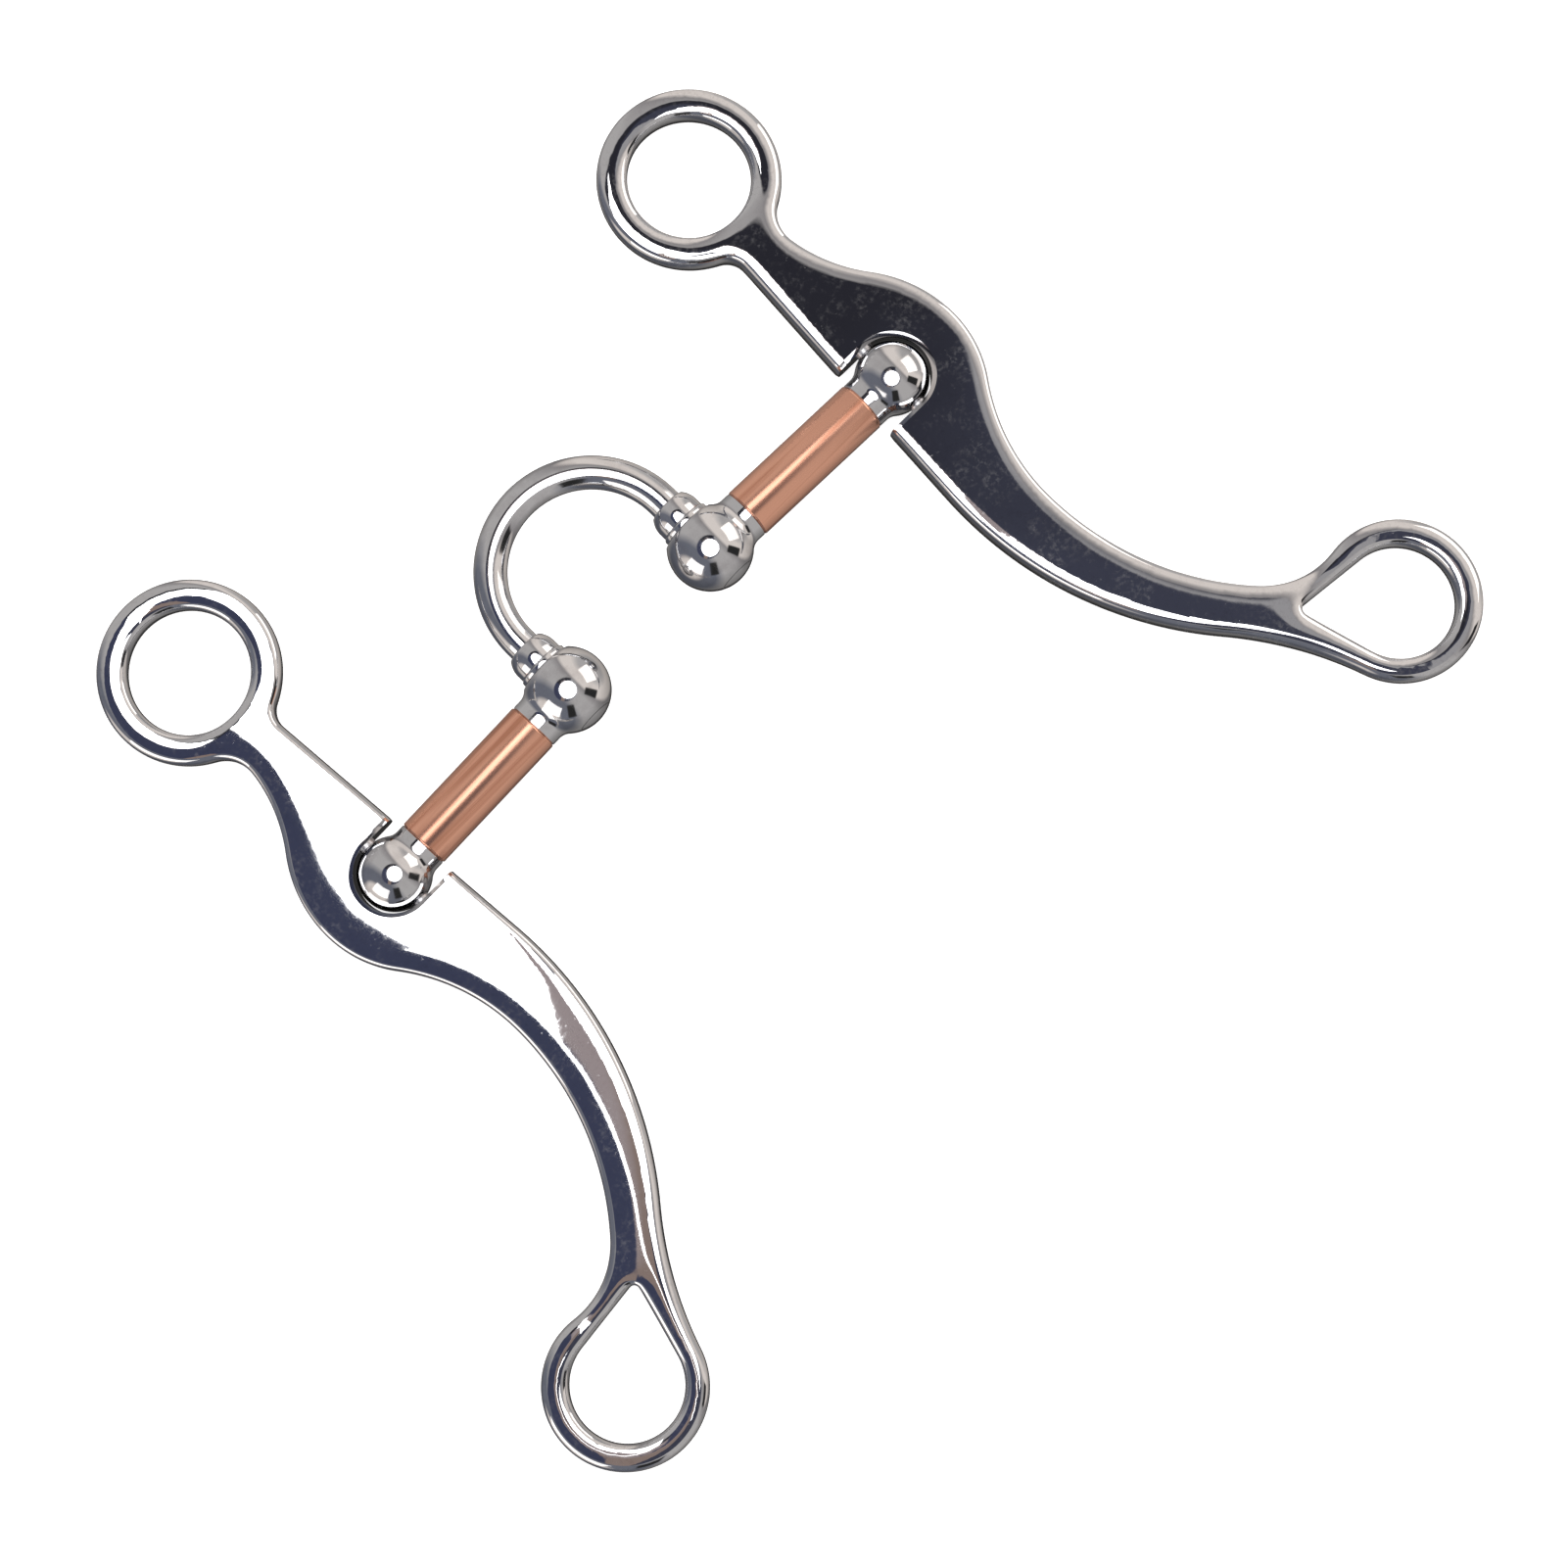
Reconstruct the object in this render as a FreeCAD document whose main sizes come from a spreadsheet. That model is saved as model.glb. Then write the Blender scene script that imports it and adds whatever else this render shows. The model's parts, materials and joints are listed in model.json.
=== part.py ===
import FreeCAD, Part
import math
import os

import Sketcher
from FreeCAD import Placement, Rotation, Vector

# Curb bit with a swivelling port and loose shanks, lying on a flat surface.
# X runs along the mouthpiece, Y up towards the bridle rings, Z up off the surface.
# The right half is modelled; the left half mirrors it across the YZ plane.

SIZES = [
    # mouthpiece
    ("pin_spacing", 135.0, "between the two hinge pins"),
    ("leg_spacing", 38.6, "between the port's two legs"),
    ("port_ball_rise", 1.4, "inner balls above the line through the outer balls"),
    ("port_ball_radius", 8.4, "inner ball"),
    ("hinge_ball_radius", 7.3, "outer ball"),
    ("neck_radius", 5.2, "both necks"),
    ("neck_blend", 3.0, "hollow between ball and neck"),
    ("port_neck_end", 9.7, "inner ball centre to the sleeve"),
    ("hinge_neck_end", 8.0, "outer ball centre to the sleeve"),
    ("core_radius", 3.4, "rod inside the sleeve"),
    ("port_socket_floor", 4.4, "inner ball centre to the rod's end"),
    ("hinge_socket_floor", 3.4, "outer ball centre to the rod's end"),
    ("sleeve_radius", 5.3, "copper sleeve, outside"),
    ("sleeve_edge", 0.35, "chamfer at the sleeve's ends"),
    # port
    ("port_rise", 13.1, "centre of the arch above the inner balls"),
    ("bar_radius", 3.3, "port bar"),
    ("tenon_radius", 2.5, "turned-down end of the bar"),
    ("head_radius", 3.9, "peened end under the ball"),
    ("seat_height", 5.8, "flat on the inner ball, above its centre"),
    ("washer_gap", 0.1, "between the flat and the washer"),
    ("washer_thickness", 1.2, "bright ring under the collar"),
    ("washer_radius", 5.25, "bright ring, outside"),
    ("washer_edge", 0.35, "rounding of the ring's rim"),
    ("collar_height", 4.6, "collar on the port's leg"),
    ("collar_base", 1.6, "straight part of the collar"),
    ("collar_radius", 4.9, "collar at its base"),
    ("collar_top_radius", 3.75, "collar at its top"),
    # shank
    ("shank_thickness", 7.0, "cheek plate"),
    ("bridle_offset", 0.4, "bridle ring centre, outward of the pin"),
    ("bridle_height", 55.6, "bridle ring centre above the ball"),
    ("bridle_radius", 18.0, "bridle ring, outside"),
    ("bridle_hole_radius", 12.0, "bridle ring, inside"),
    ("bridle_outer_blend", 7.0, "hollow under the ring, outer edge"),
    ("bridle_inner_blend", 4.0, "hollow under the ring, inner edge"),
    ("purchase_reach", 5.3, "outer edge of the purchase at its waist"),
    ("purchase_height", 37.0, "height of that waist"),
    ("hump_reach", 17.5, "outer edge of the hump"),
    ("hump_height", 0.8, "height of the hump's crest"),
    ("hump_upper_radius", 27.5, "hump above its crest"),
    ("hump_lower_radius", 24.0, "hump below its crest"),
    ("waist_reach", 4.6, "outer edge of the shank's waist"),
    ("waist_drop", 38.0, "waist below the ball"),
    ("throat_radius", 18.0, "outer edge where it turns to the rein ring"),
    ("throat_bearing", 7.5, "where it meets the ring, from the ring's top, degrees"),
    ("rein_reach", 37.8, "rein ring centre, outward of the pin"),
    ("rein_drop", 99.7, "rein ring centre below the ball"),
    ("rein_radius", 16.0, "rein ring, outside"),
    ("rein_hole_radius", 11.0, "round part of the teardrop hole"),
    ("rein_hole_offset", 0.5, "hole centre, inward of the ring's centre"),
    ("teardrop_reach", 15.0, "point of the teardrop, inward of the hole's centre"),
    ("teardrop_rise", 12.7, "point of the teardrop, above the hole's centre"),
    ("teardrop_tip_radius", 1.2, "rounding of the teardrop's point"),
    ("back_reach", 9.55, "inner edge of the shank at its fullest"),
    ("back_drop", 30.0, "that place, below the ball"),
    ("heel_radius", 75.0, "inner edge where it turns to the rein ring"),
    ("heel_bearing", 18.6, "where it meets the ring, below the ring's centre, degrees"),
    ("back_lean", 4.2, "lean of the straight inner edge, degrees"),
    ("outline_round", 1.9, "rounding of the cheek's outer edges"),
    ("bridle_hole_round", 2.2, "rounding of the bridle ring's hole"),
    ("rein_hole_round", 1.6, "rounding of the rein ring's hole"),
    ("notch_gap", 1.1, "between the outer ball and the notch"),
    ("notch_edge", 0.6, "chamfer round the notch"),
    # hinge
    ("pin_radius", 1.9, "hinge pin"),
    ("pin_depth", 5.0, "pin's grip in the lower lip"),
    ("plug_length", 5.0, "plug above the pin"),
    ("plug_recess", 0.3, "plug's end behind the wall of the ring's hole"),
    ("running_gap", 0.05, "radial clearance of what turns"),
    ("head_gap", 0.1, "between the peened end and its seat"),
]

UPRIGHT = Vector(0, 1, 0)
FORWARD = Vector(0, 0, 1)
ALONG = Vector(1, 0, 0)
ORIGIN_POINT = (-1, 1)
START = 1
END = 2
CENTRE = 3
H_AXIS = -1
V_AXIS = -2
LEVEL = 1e-6
NEAR = 0.2

doc = FreeCAD.newDocument("curb_bit")
sheet = doc.addObject("Spreadsheet::Sheet", "Sizes")
for row, (alias, value, note) in enumerate(SIZES, start=1):
    sheet.set(f"A{row}", note)
    sheet.set(f"B{row}", str(value))
    sheet.setAlias(f"B{row}", alias)
doc.recompute()


def size(alias):
    return float(sheet.get(alias))


# Places that follow from the sizes.
half_leg = size("leg_spacing") / 2
cannon_run = (size("pin_spacing") - size("leg_spacing")) / 2
ball_step = size("port_ball_radius") - size("hinge_ball_radius")
cannon_reach = math.hypot(cannon_run, ball_step)
cannon_length = math.hypot(cannon_reach, size("port_ball_rise"))
cannon_slope = math.degrees(math.atan2(size("port_ball_rise"), cannon_reach))
cannon_tilt = math.degrees(math.atan2(ball_step, cannon_run))
collar_foot = size("seat_height") + size("washer_gap") + size("washer_thickness")
collar_top = collar_foot + size("collar_height")
notch_radius = size("hinge_ball_radius") + size("notch_gap")

# The origin is under the middle of the whole bit, so the balls' line stands off it.
top_reach = size("bridle_height") + size("bridle_radius")
bottom_reach = size("rein_drop") + size("rein_radius")
hinge_line = (bottom_reach - top_reach) / 2

# Both shanks droop about their pins until the rein rings' rims touch the surface.
rim_reach = size("rein_reach") + size("rein_radius") - size("outline_round")
rim_depth = size("shank_thickness") / 2 - size("outline_round")
rim_drop = size("hinge_ball_radius") - size("outline_round")
droop_turn = math.asin(rim_drop / math.hypot(rim_reach, rim_depth)) - math.atan2(rim_depth, rim_reach)
shank_droop = math.degrees(droop_turn)

port_line = hinge_line + size("port_ball_rise")
leg_place = Placement(Vector(half_leg, port_line, size("port_ball_radius")), Rotation())
cannon_place = leg_place.multiply(Placement(Vector(), Rotation(UPRIGHT, cannon_tilt)))
sloped = Placement(Vector(), Rotation(FORWARD, -cannon_slope))
hinge_local = sloped.multVec(Vector(cannon_length, 0, 0))
hinge_place = cannon_place.multiply(Placement(hinge_local, Rotation()))
shank_place = Placement(hinge_place.Base, Rotation(UPRIGHT, shank_droop))

CANNON_LENGTH = (
    "sqrt(((Sizes.pin_spacing - Sizes.leg_spacing) / 2) ^ 2 + Sizes.port_ball_rise ^ 2"
    " + (Sizes.port_ball_radius - Sizes.hinge_ball_radius) ^ 2)"
)
COLLAR_FOOT = "Sizes.seat_height + Sizes.washer_gap + Sizes.washer_thickness"
NOTCH_RADIUS = "Sizes.hinge_ball_radius + Sizes.notch_gap"
HEAD_TOP = (
    "sqrt(Sizes.port_ball_radius ^ 2 - Sizes.head_radius ^ 2) - Sizes.head_radius + Sizes.tenon_radius"
)


def new_body(name):
    return doc.addObject("PartDesign::Body", name)


def origin_plane(body, role):
    return next(item for item in body.Origin.OriginFeatures if item.Role == role)


def new_sketch(body, name, role="XY_Plane"):
    sketch = body.newObject("Sketcher::SketchObject", name)
    sketch.AttachmentSupport = [(origin_plane(body, role), "")]
    sketch.MapMode = "FlatFace"
    return sketch


def rule(sketch, kind, *items):
    return sketch.addConstraint(Sketcher.Constraint(kind, *items))


def drive(sketch, expression, kind, *items):
    """Add a dimension whose value is bound to the sheet."""
    index = rule(sketch, kind, *items)
    sketch.setExpression(f"Constraints[{index}]", expression)


def line(sketch, start, end, construction=False):
    segment = Part.LineSegment(Vector(start[0], start[1], 0), Vector(end[0], end[1], 0))
    return sketch.addGeometry(segment, construction)


def arc(sketch, centre, radius, start, end):
    """Add the arc that turns anticlockwise from one point to another."""
    first = math.atan2(start[1] - centre[1], start[0] - centre[0])
    last = math.atan2(end[1] - centre[1], end[0] - centre[0])
    if last <= first:
        last += 2 * math.pi
    circle = Part.Circle(Vector(centre[0], centre[1], 0), FORWARD, radius)
    return sketch.addGeometry(Part.ArcOfCircle(circle, first, last), False)


def polygon(sketch, corners):
    """Add a closed run of lines and return their numbers."""
    sides = [line(sketch, corners[i - 1], corners[i]) for i in range(len(corners))]
    for i, side in enumerate(sides):
        rule(sketch, "Coincident", sides[i - 1], END, side, START)
    return sides


def place_point(sketch, geometry, point, across, up):
    """Bind a point's two coordinates; None leaves a coordinate on its axis."""
    if across is None:
        rule(sketch, "PointOnObject", geometry, point, V_AXIS)
    else:
        drive(sketch, across[0], "DistanceX", *ORIGIN_POINT, geometry, point, across[1])
    if up is None:
        rule(sketch, "PointOnObject", geometry, point, H_AXIS)
    else:
        drive(sketch, up[0], "DistanceY", *ORIGIN_POINT, geometry, point, up[1])


def point_at(centre, radius, towards):
    """The point of a circle that faces another point."""
    reach = math.dist(centre, towards)
    return (
        centre[0] + (towards[0] - centre[0]) * radius / reach,
        centre[1] + (towards[1] - centre[1]) * radius / reach,
    )


def circles_meet(first, first_radius, second, second_radius, side):
    """Where two circles cross, on the left (+1) or right (-1) of the line between them."""
    span = math.dist(first, second)
    along = (first_radius ** 2 - second_radius ** 2 + span ** 2) / (2 * span)
    off = math.sqrt(first_radius ** 2 - along ** 2) * side
    ux = (second[0] - first[0]) / span
    uy = (second[1] - first[1]) / span
    return (first[0] + ux * along - uy * off, first[1] + uy * along + ux * off)


def turned(centre, radius, bearing):
    """The point at a distance and a bearing, in degrees, from another point."""
    angle = math.radians(bearing)
    return (centre[0] + radius * math.cos(angle), centre[1] + radius * math.sin(angle))


def hollow_radius(reach, height, hump_centre, hump_radius):
    """Radius of the hollow that is upright at a given place and tangent to the hump."""
    across = reach - hump_centre[0]
    rise = height - hump_centre[1]
    return (across ** 2 + rise ** 2 - hump_radius ** 2) / (2 * (hump_radius - across))


def swept_radius(reach, height, bend_centre, bend_radius):
    """Radius of the arc that is upright at a given place and runs into a smaller bend.

    The bend's radius is negative where it lies on the same side as the arc's centre.
    """
    across = bend_centre[0] - reach
    rise = bend_centre[1] - height
    return (across ** 2 + rise ** 2 - bend_radius ** 2) / (2 * (across + bend_radius))


def revolve(body, kind, sketch, axis):
    feature = body.newObject(kind, sketch.Name + "_turn")
    feature.Profile = sketch
    feature.ReferenceAxis = (sketch, [axis])
    feature.Angle = 360
    return feature


def through_pocket(body, sketch, name):
    pocket = body.newObject("PartDesign::Pocket", name)
    pocket.Profile = sketch
    pocket.Type = "ThroughAll"
    pocket.Midplane = True
    return pocket


def cylinder(name, radius, height):
    shape = doc.addObject("Part::Cylinder", name)
    shape.setExpression("Radius", radius)
    shape.setExpression("Height", height)
    return shape


def bored(name, base, tool):
    cut = doc.addObject("Part::Cut", name)
    cut.Base = base
    cut.Tool = tool
    return cut


# ---- shank -------------------------------------------------------------------


def shank_outline():
    """Centres, radii and joints of the tangent arcs round the cheek, in order, clockwise."""
    bridle = (size("bridle_offset"), size("bridle_height"))
    rein = (size("rein_reach"), -size("rein_drop"))
    bridle_radius = size("bridle_radius")
    rein_radius = size("rein_radius")
    crest = (size("hump_reach"), size("hump_height"))
    waist = (size("waist_reach"), -size("waist_drop"))
    upper_radius = size("hump_upper_radius")
    lower_radius = size("hump_lower_radius")
    upper = (crest[0] - upper_radius, crest[1])
    lower = (crest[0] - lower_radius, crest[1])

    neck_radius = hollow_radius(size("purchase_reach"), size("purchase_height"), upper, upper_radius)
    neck = (size("purchase_reach") + neck_radius, size("purchase_height"))
    outer_blend = size("bridle_outer_blend")
    shoulder = circles_meet(bridle, bridle_radius + outer_blend, neck, neck_radius - outer_blend, -1)

    hollow = hollow_radius(waist[0], waist[1], lower, lower_radius)
    hollow_centre = (waist[0] + hollow, waist[1])
    throat_radius = size("throat_radius")
    throat = turned(rein, rein_radius + throat_radius, 90 + size("throat_bearing"))
    sweep_radius = swept_radius(waist[0], waist[1], throat, -throat_radius)
    sweep = (waist[0] + sweep_radius, waist[1])

    heel_radius = size("heel_radius")
    heel = turned(rein, rein_radius + heel_radius, 180 + size("heel_bearing"))
    back_radius = swept_radius(-size("back_reach"), -size("back_drop"), heel, heel_radius)
    back = (back_radius - size("back_reach"), -size("back_drop"))

    lean = math.radians(size("back_lean"))
    outward = (-math.cos(lean), math.sin(lean))
    upward = (math.sin(lean), math.cos(lean))
    edge_foot = (back[0] + back_radius * outward[0], back[1] + back_radius * outward[1])
    inner_blend = size("bridle_inner_blend")
    base = (
        edge_foot[0] + inner_blend * outward[0] - bridle[0],
        edge_foot[1] + inner_blend * outward[1] - bridle[1],
    )
    along = base[0] * upward[0] + base[1] * upward[1]
    gap = base[0] ** 2 + base[1] ** 2 - (bridle_radius + inner_blend) ** 2
    travel = -along - math.sqrt(along ** 2 - gap)
    edge_top = (edge_foot[0] + travel * upward[0], edge_foot[1] + travel * upward[1])
    crook = (edge_top[0] + inner_blend * outward[0], edge_top[1] + inner_blend * outward[1])

    convex = True
    hollow_arc = False
    return [
        # centre, radius, convex, first point, last point, driving radius
        (shoulder, outer_blend, hollow_arc, point_at(bridle, bridle_radius, shoulder),
         point_at(neck, neck_radius, shoulder), "bridle_outer_blend"),
        (neck, neck_radius, hollow_arc, point_at(neck, neck_radius, shoulder),
         point_at(neck, neck_radius, upper), None),
        (upper, upper_radius, convex, point_at(upper, upper_radius, neck), crest, "hump_upper_radius"),
        (lower, lower_radius, convex, crest, point_at(lower, lower_radius, hollow_centre),
         "hump_lower_radius"),
        (hollow_centre, hollow, hollow_arc, point_at(hollow_centre, hollow, lower), waist, None),
        (sweep, sweep_radius, hollow_arc, waist, point_at(sweep, sweep_radius, throat), None),
        (throat, throat_radius, hollow_arc, point_at(sweep, sweep_radius, throat),
         point_at(throat, throat_radius, rein), "throat_radius"),
        (rein, rein_radius, convex, point_at(rein, rein_radius, throat),
         point_at(rein, rein_radius, heel), "rein_radius"),
        (heel, heel_radius, hollow_arc, point_at(heel, heel_radius, rein),
         point_at(heel, heel_radius, back), "heel_radius"),
        (back, back_radius, convex, point_at(back, back_radius, heel), edge_foot, None),
        (None, None, None, edge_foot, edge_top, None),
        (crook, inner_blend, hollow_arc, edge_top, point_at(bridle, bridle_radius, crook),
         "bridle_inner_blend"),
        (bridle, bridle_radius, convex, point_at(bridle, bridle_radius, crook),
         point_at(bridle, bridle_radius, shoulder), "bridle_radius"),
    ]


def signed(alias):
    """A sheet expression and its value; a minus sign may stand before the alias."""
    name = alias.lstrip("-")
    sign = "-" if alias.startswith("-") else ""
    return (f"{sign}Sizes.{name}", -size(name) if sign else size(name))


def add_guide(sketch, curve, reach, height):
    """An upright line, tangent to a curve at its reach."""
    across = signed(reach)
    up = signed(height)
    guide = line(sketch, (across[1], up[1]), (across[1], up[1] + 1), True)
    rule(sketch, "Vertical", guide)
    place_point(sketch, guide, START, across, up)
    rule(sketch, "DistanceY", guide, START, guide, END, 1.0)
    rule(sketch, "Tangent", guide, curve)


def draw_outline(sketch):
    pieces = []
    for centre, radius, convex, first, last, driver in shank_outline():
        if centre is None:
            number = line(sketch, first, last)
            pieces.append((number, START, END))
        elif convex:
            number = arc(sketch, centre, radius, last, first)
            pieces.append((number, END, START))
        else:
            number = arc(sketch, centre, radius, first, last)
            pieces.append((number, START, END))
        if driver:
            drive(sketch, f"Sizes.{driver}", "Radius", number, radius)
    for i, (number, first, last) in enumerate(pieces):
        before = pieces[i - 1]
        rule(sketch, "Tangent", before[0], before[2], number, first)
    numbers = [piece[0] for piece in pieces]
    (shoulder, neck, upper, lower, hollow, sweep, throat, rein, heel, back, edge, crook, bridle) = numbers
    place_point(sketch, bridle, CENTRE, signed("bridle_offset"), signed("bridle_height"))
    place_point(sketch, rein, CENTRE, signed("rein_reach"), signed("-rein_drop"))
    place_point(sketch, upper, START, signed("hump_reach"), signed("hump_height"))
    place_point(sketch, hollow, END, signed("waist_reach"), signed("-waist_drop"))
    for bend, name, share in ((throat, "throat", "sin"), (heel, "heel", "cos")):
        across = f"(Sizes.rein_radius + Sizes.{name}_radius) * {share}(Sizes.{name}_bearing * 1 deg)"
        centre = sketch.getPoint(bend, CENTRE)
        drive(sketch, f"Sizes.rein_reach - {across}", "DistanceX", *ORIGIN_POINT, bend, CENTRE, centre.x)
    for curve, height in (
        (back, "-back_drop"),
        (upper, "hump_height"),
        (hollow, "-waist_drop"),
        (neck, "purchase_height"),
    ):
        expression, value = signed(height)
        drive(sketch, expression, "DistanceY", *ORIGIN_POINT, curve, CENTRE, value)
    # upright construction lines keep two arcs at their reach
    add_guide(sketch, neck, "purchase_reach", "purchase_height")
    add_guide(sketch, back, "-back_reach", "-back_drop")
    lean = 90 - size("back_lean")
    drive(sketch, "90 - Sizes.back_lean", "Angle", edge, math.radians(lean))


def face_rims(shape, near):
    """Names of the edges in either face of the cheek whose middle passes a test."""
    depth = size("shank_thickness") / 2
    names = []
    for number, edge in enumerate(shape.Edges, start=1):
        box = edge.BoundBox
        middle = edge.valueAt((edge.FirstParameter + edge.LastParameter) / 2)
        level = box.ZLength < LEVEL and abs(abs(box.ZMin) - depth) < LEVEL
        if level and near((middle.x, middle.y)):
            names.append(f"Edge{number}")
    return names


def dress_rims(body, kind, name, expression, near):
    """Round or chamfer some of the rims of the cheek's two faces."""
    doc.recompute()
    base = body.Tip
    dressing = body.newObject(f"PartDesign::{kind}", name)
    dressing.Base = (base, face_rims(base.Shape, near))
    dressing.setExpression("Size" if kind == "Chamfer" else "Radius", expression)
    doc.recompute()


def round_the_notch(spot):
    return math.hypot(*spot) < notch_radius + NEAR


def round_the_bridle_hole(spot):
    centre = (size("bridle_offset"), size("bridle_height"))
    return math.dist(spot, centre) < size("bridle_hole_radius") + NEAR


def round_the_teardrop(spot):
    """Within reach of the hole's round part, or of the line from its centre to its point."""
    centre, tip = teardrop_ends()
    spread = 1.25
    if math.dist(spot, centre) < size("rein_hole_radius") + NEAR:
        return True
    return math.dist(spot, tip) + math.dist(spot, centre) < math.dist(centre, tip) * spread


def make_shank():
    body = new_body("right_shank")
    outline = new_sketch(body, "cheek_outline")
    draw_outline(outline)
    plate = body.newObject("PartDesign::Pad", "cheek_plate")
    plate.Profile = outline
    plate.Midplane = True
    plate.setExpression("Length", "Sizes.shank_thickness")
    dress_rims(body, "Fillet", "cheek_edges", "Sizes.outline_round", lambda spot: True)

    ring = new_sketch(body, "bridle_hole")
    radius = size("bridle_hole_radius")
    circle = ring.addGeometry(Part.Circle(Vector(0, size("bridle_height"), 0), FORWARD, radius))
    drive(ring, "Sizes.bridle_hole_radius", "Radius", circle, radius)
    place_point(ring, circle, CENTRE, signed("bridle_offset"), signed("bridle_height"))
    through_pocket(body, ring, "bridle_opening")
    dress_rims(body, "Fillet", "bridle_edges", "Sizes.bridle_hole_round", round_the_bridle_hole)

    teardrop = new_sketch(body, "rein_hole")
    draw_teardrop(teardrop)
    through_pocket(body, teardrop, "rein_opening")
    dress_rims(body, "Fillet", "rein_edges", "Sizes.rein_hole_round", round_the_teardrop)

    notch = new_sketch(body, "ball_notch")
    draw_notch(notch)
    through_pocket(body, notch, "notch_opening")
    dress_rims(body, "Chamfer", "notch_edges", "Sizes.notch_edge", round_the_notch)

    bore = new_sketch(body, "pin_bore")
    draw_pin_bore(bore)
    revolve(body, "PartDesign::Groove", bore, "V_Axis")
    body.Placement = shank_place
    return body


def teardrop_ends():
    """Centre of the teardrop's round part, and its point."""
    centre = (size("rein_reach") - size("rein_hole_offset"), -size("rein_drop"))
    return centre, (centre[0] - size("teardrop_reach"), centre[1] + size("teardrop_rise"))


def draw_teardrop(sketch):
    """A round hole drawn out to a point by two tangents."""
    centre, tip = teardrop_ends()
    radius = size("rein_hole_radius")
    tip_radius = size("teardrop_tip_radius")
    span = math.dist(centre, tip)
    half_angle = math.asin(radius / span)
    bearing = math.atan2(tip[1] - centre[1], tip[0] - centre[0])
    nose_reach = span - tip_radius / math.sin(half_angle)
    nose = (centre[0] + nose_reach * math.cos(bearing), centre[1] + nose_reach * math.sin(bearing))
    spread = math.pi / 2 - half_angle
    ends = []
    for turn in (spread, -spread):
        way = (math.cos(bearing + turn), math.sin(bearing + turn))
        ends.append(((centre[0] + radius * way[0], centre[1] + radius * way[1]),
                     (nose[0] + tip_radius * way[0], nose[1] + tip_radius * way[1])))
    (left_big, left_nose), (right_big, right_nose) = ends
    big = arc(sketch, centre, radius, left_big, right_big)
    right = line(sketch, right_big, right_nose)
    point = arc(sketch, nose, tip_radius, right_nose, left_nose)
    left = line(sketch, left_nose, left_big)
    rule(sketch, "Tangent", big, END, right, START)
    rule(sketch, "Tangent", right, END, point, START)
    rule(sketch, "Tangent", point, END, left, START)
    rule(sketch, "Tangent", left, END, big, START)
    drive(sketch, "Sizes.rein_hole_radius", "Radius", big, radius)
    drive(sketch, "Sizes.teardrop_tip_radius", "Radius", point, tip_radius)
    place_point(sketch, big, CENTRE, ("Sizes.rein_reach - Sizes.rein_hole_offset", centre[0]),
                ("-Sizes.rein_drop", centre[1]))
    # the two straight sides would meet at the teardrop's point
    mark = sketch.addGeometry(Part.Point(Vector(tip[0], tip[1], 0)), True)
    rule(sketch, "PointOnObject", mark, START, right)
    rule(sketch, "PointOnObject", mark, START, left)
    drive(sketch, "Sizes.teardrop_reach", "DistanceX", mark, START, big, CENTRE, size("teardrop_reach"))
    drive(sketch, "Sizes.teardrop_rise", "DistanceY", big, CENTRE, mark, START, size("teardrop_rise"))


def draw_notch(sketch):
    """A U-shaped notch that opens on the inner edge."""
    radius = notch_radius
    mouth = -(size("back_reach") + radius)
    bend = arc(sketch, (0, 0), radius, (0, -radius), (0, radius))
    roof = line(sketch, (0, radius), (mouth, radius))
    side = line(sketch, (mouth, radius), (mouth, -radius))
    floor = line(sketch, (mouth, -radius), (0, -radius))
    rule(sketch, "Tangent", bend, END, roof, START)
    rule(sketch, "Tangent", floor, END, bend, START)
    rule(sketch, "Coincident", roof, END, side, START)
    rule(sketch, "Coincident", side, END, floor, START)
    rule(sketch, "Vertical", side)
    rule(sketch, "Horizontal", roof)
    rule(sketch, "Horizontal", floor)
    rule(sketch, "Coincident", bend, CENTRE, *ORIGIN_POINT)
    drive(sketch, NOTCH_RADIUS, "Radius", bend, radius)
    drive(sketch, f"-Sizes.back_reach - ({NOTCH_RADIUS})", "DistanceX", *ORIGIN_POINT, side, START, mouth)


def draw_pin_bore(sketch):
    """Half section of the bore: from inside the bridle ring down into the lower lip."""
    top = size("bridle_height")
    bottom = -notch_radius - size("pin_depth")
    radius = size("pin_radius")
    sides = polygon(sketch, [(0, bottom), (radius, bottom), (radius, top), (0, top)])
    down, across, up, back = sides
    rule(sketch, "Horizontal", across)
    rule(sketch, "Vertical", up)
    rule(sketch, "Horizontal", back)
    place_point(sketch, across, END, ("Sizes.pin_radius", radius),
                (f"-({NOTCH_RADIUS}) - Sizes.pin_depth", bottom))
    drive(sketch, "Sizes.bridle_height", "DistanceY", *ORIGIN_POINT, up, END, top)
    rule(sketch, "PointOnObject", down, END, V_AXIS)
    rule(sketch, "PointOnObject", back, END, V_AXIS)


# ---- hinge pin and its plug ------------------------------------------------------

pin_foot = -notch_radius - size("pin_depth")
hole_foot = size("bridle_height") - size("bridle_hole_radius")
LYING = Rotation(ALONG, -90)


def make_hinge_pin():
    height = (
        f"Sizes.bridle_height - Sizes.bridle_hole_radius - Sizes.plug_length"
        f" + ({NOTCH_RADIUS}) + Sizes.pin_depth"
    )
    pin = cylinder("right_hinge_pin", "Sizes.pin_radius", height)
    pin.Placement = shank_place.multiply(Placement(Vector(0, pin_foot, 0), LYING))
    return pin


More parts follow.
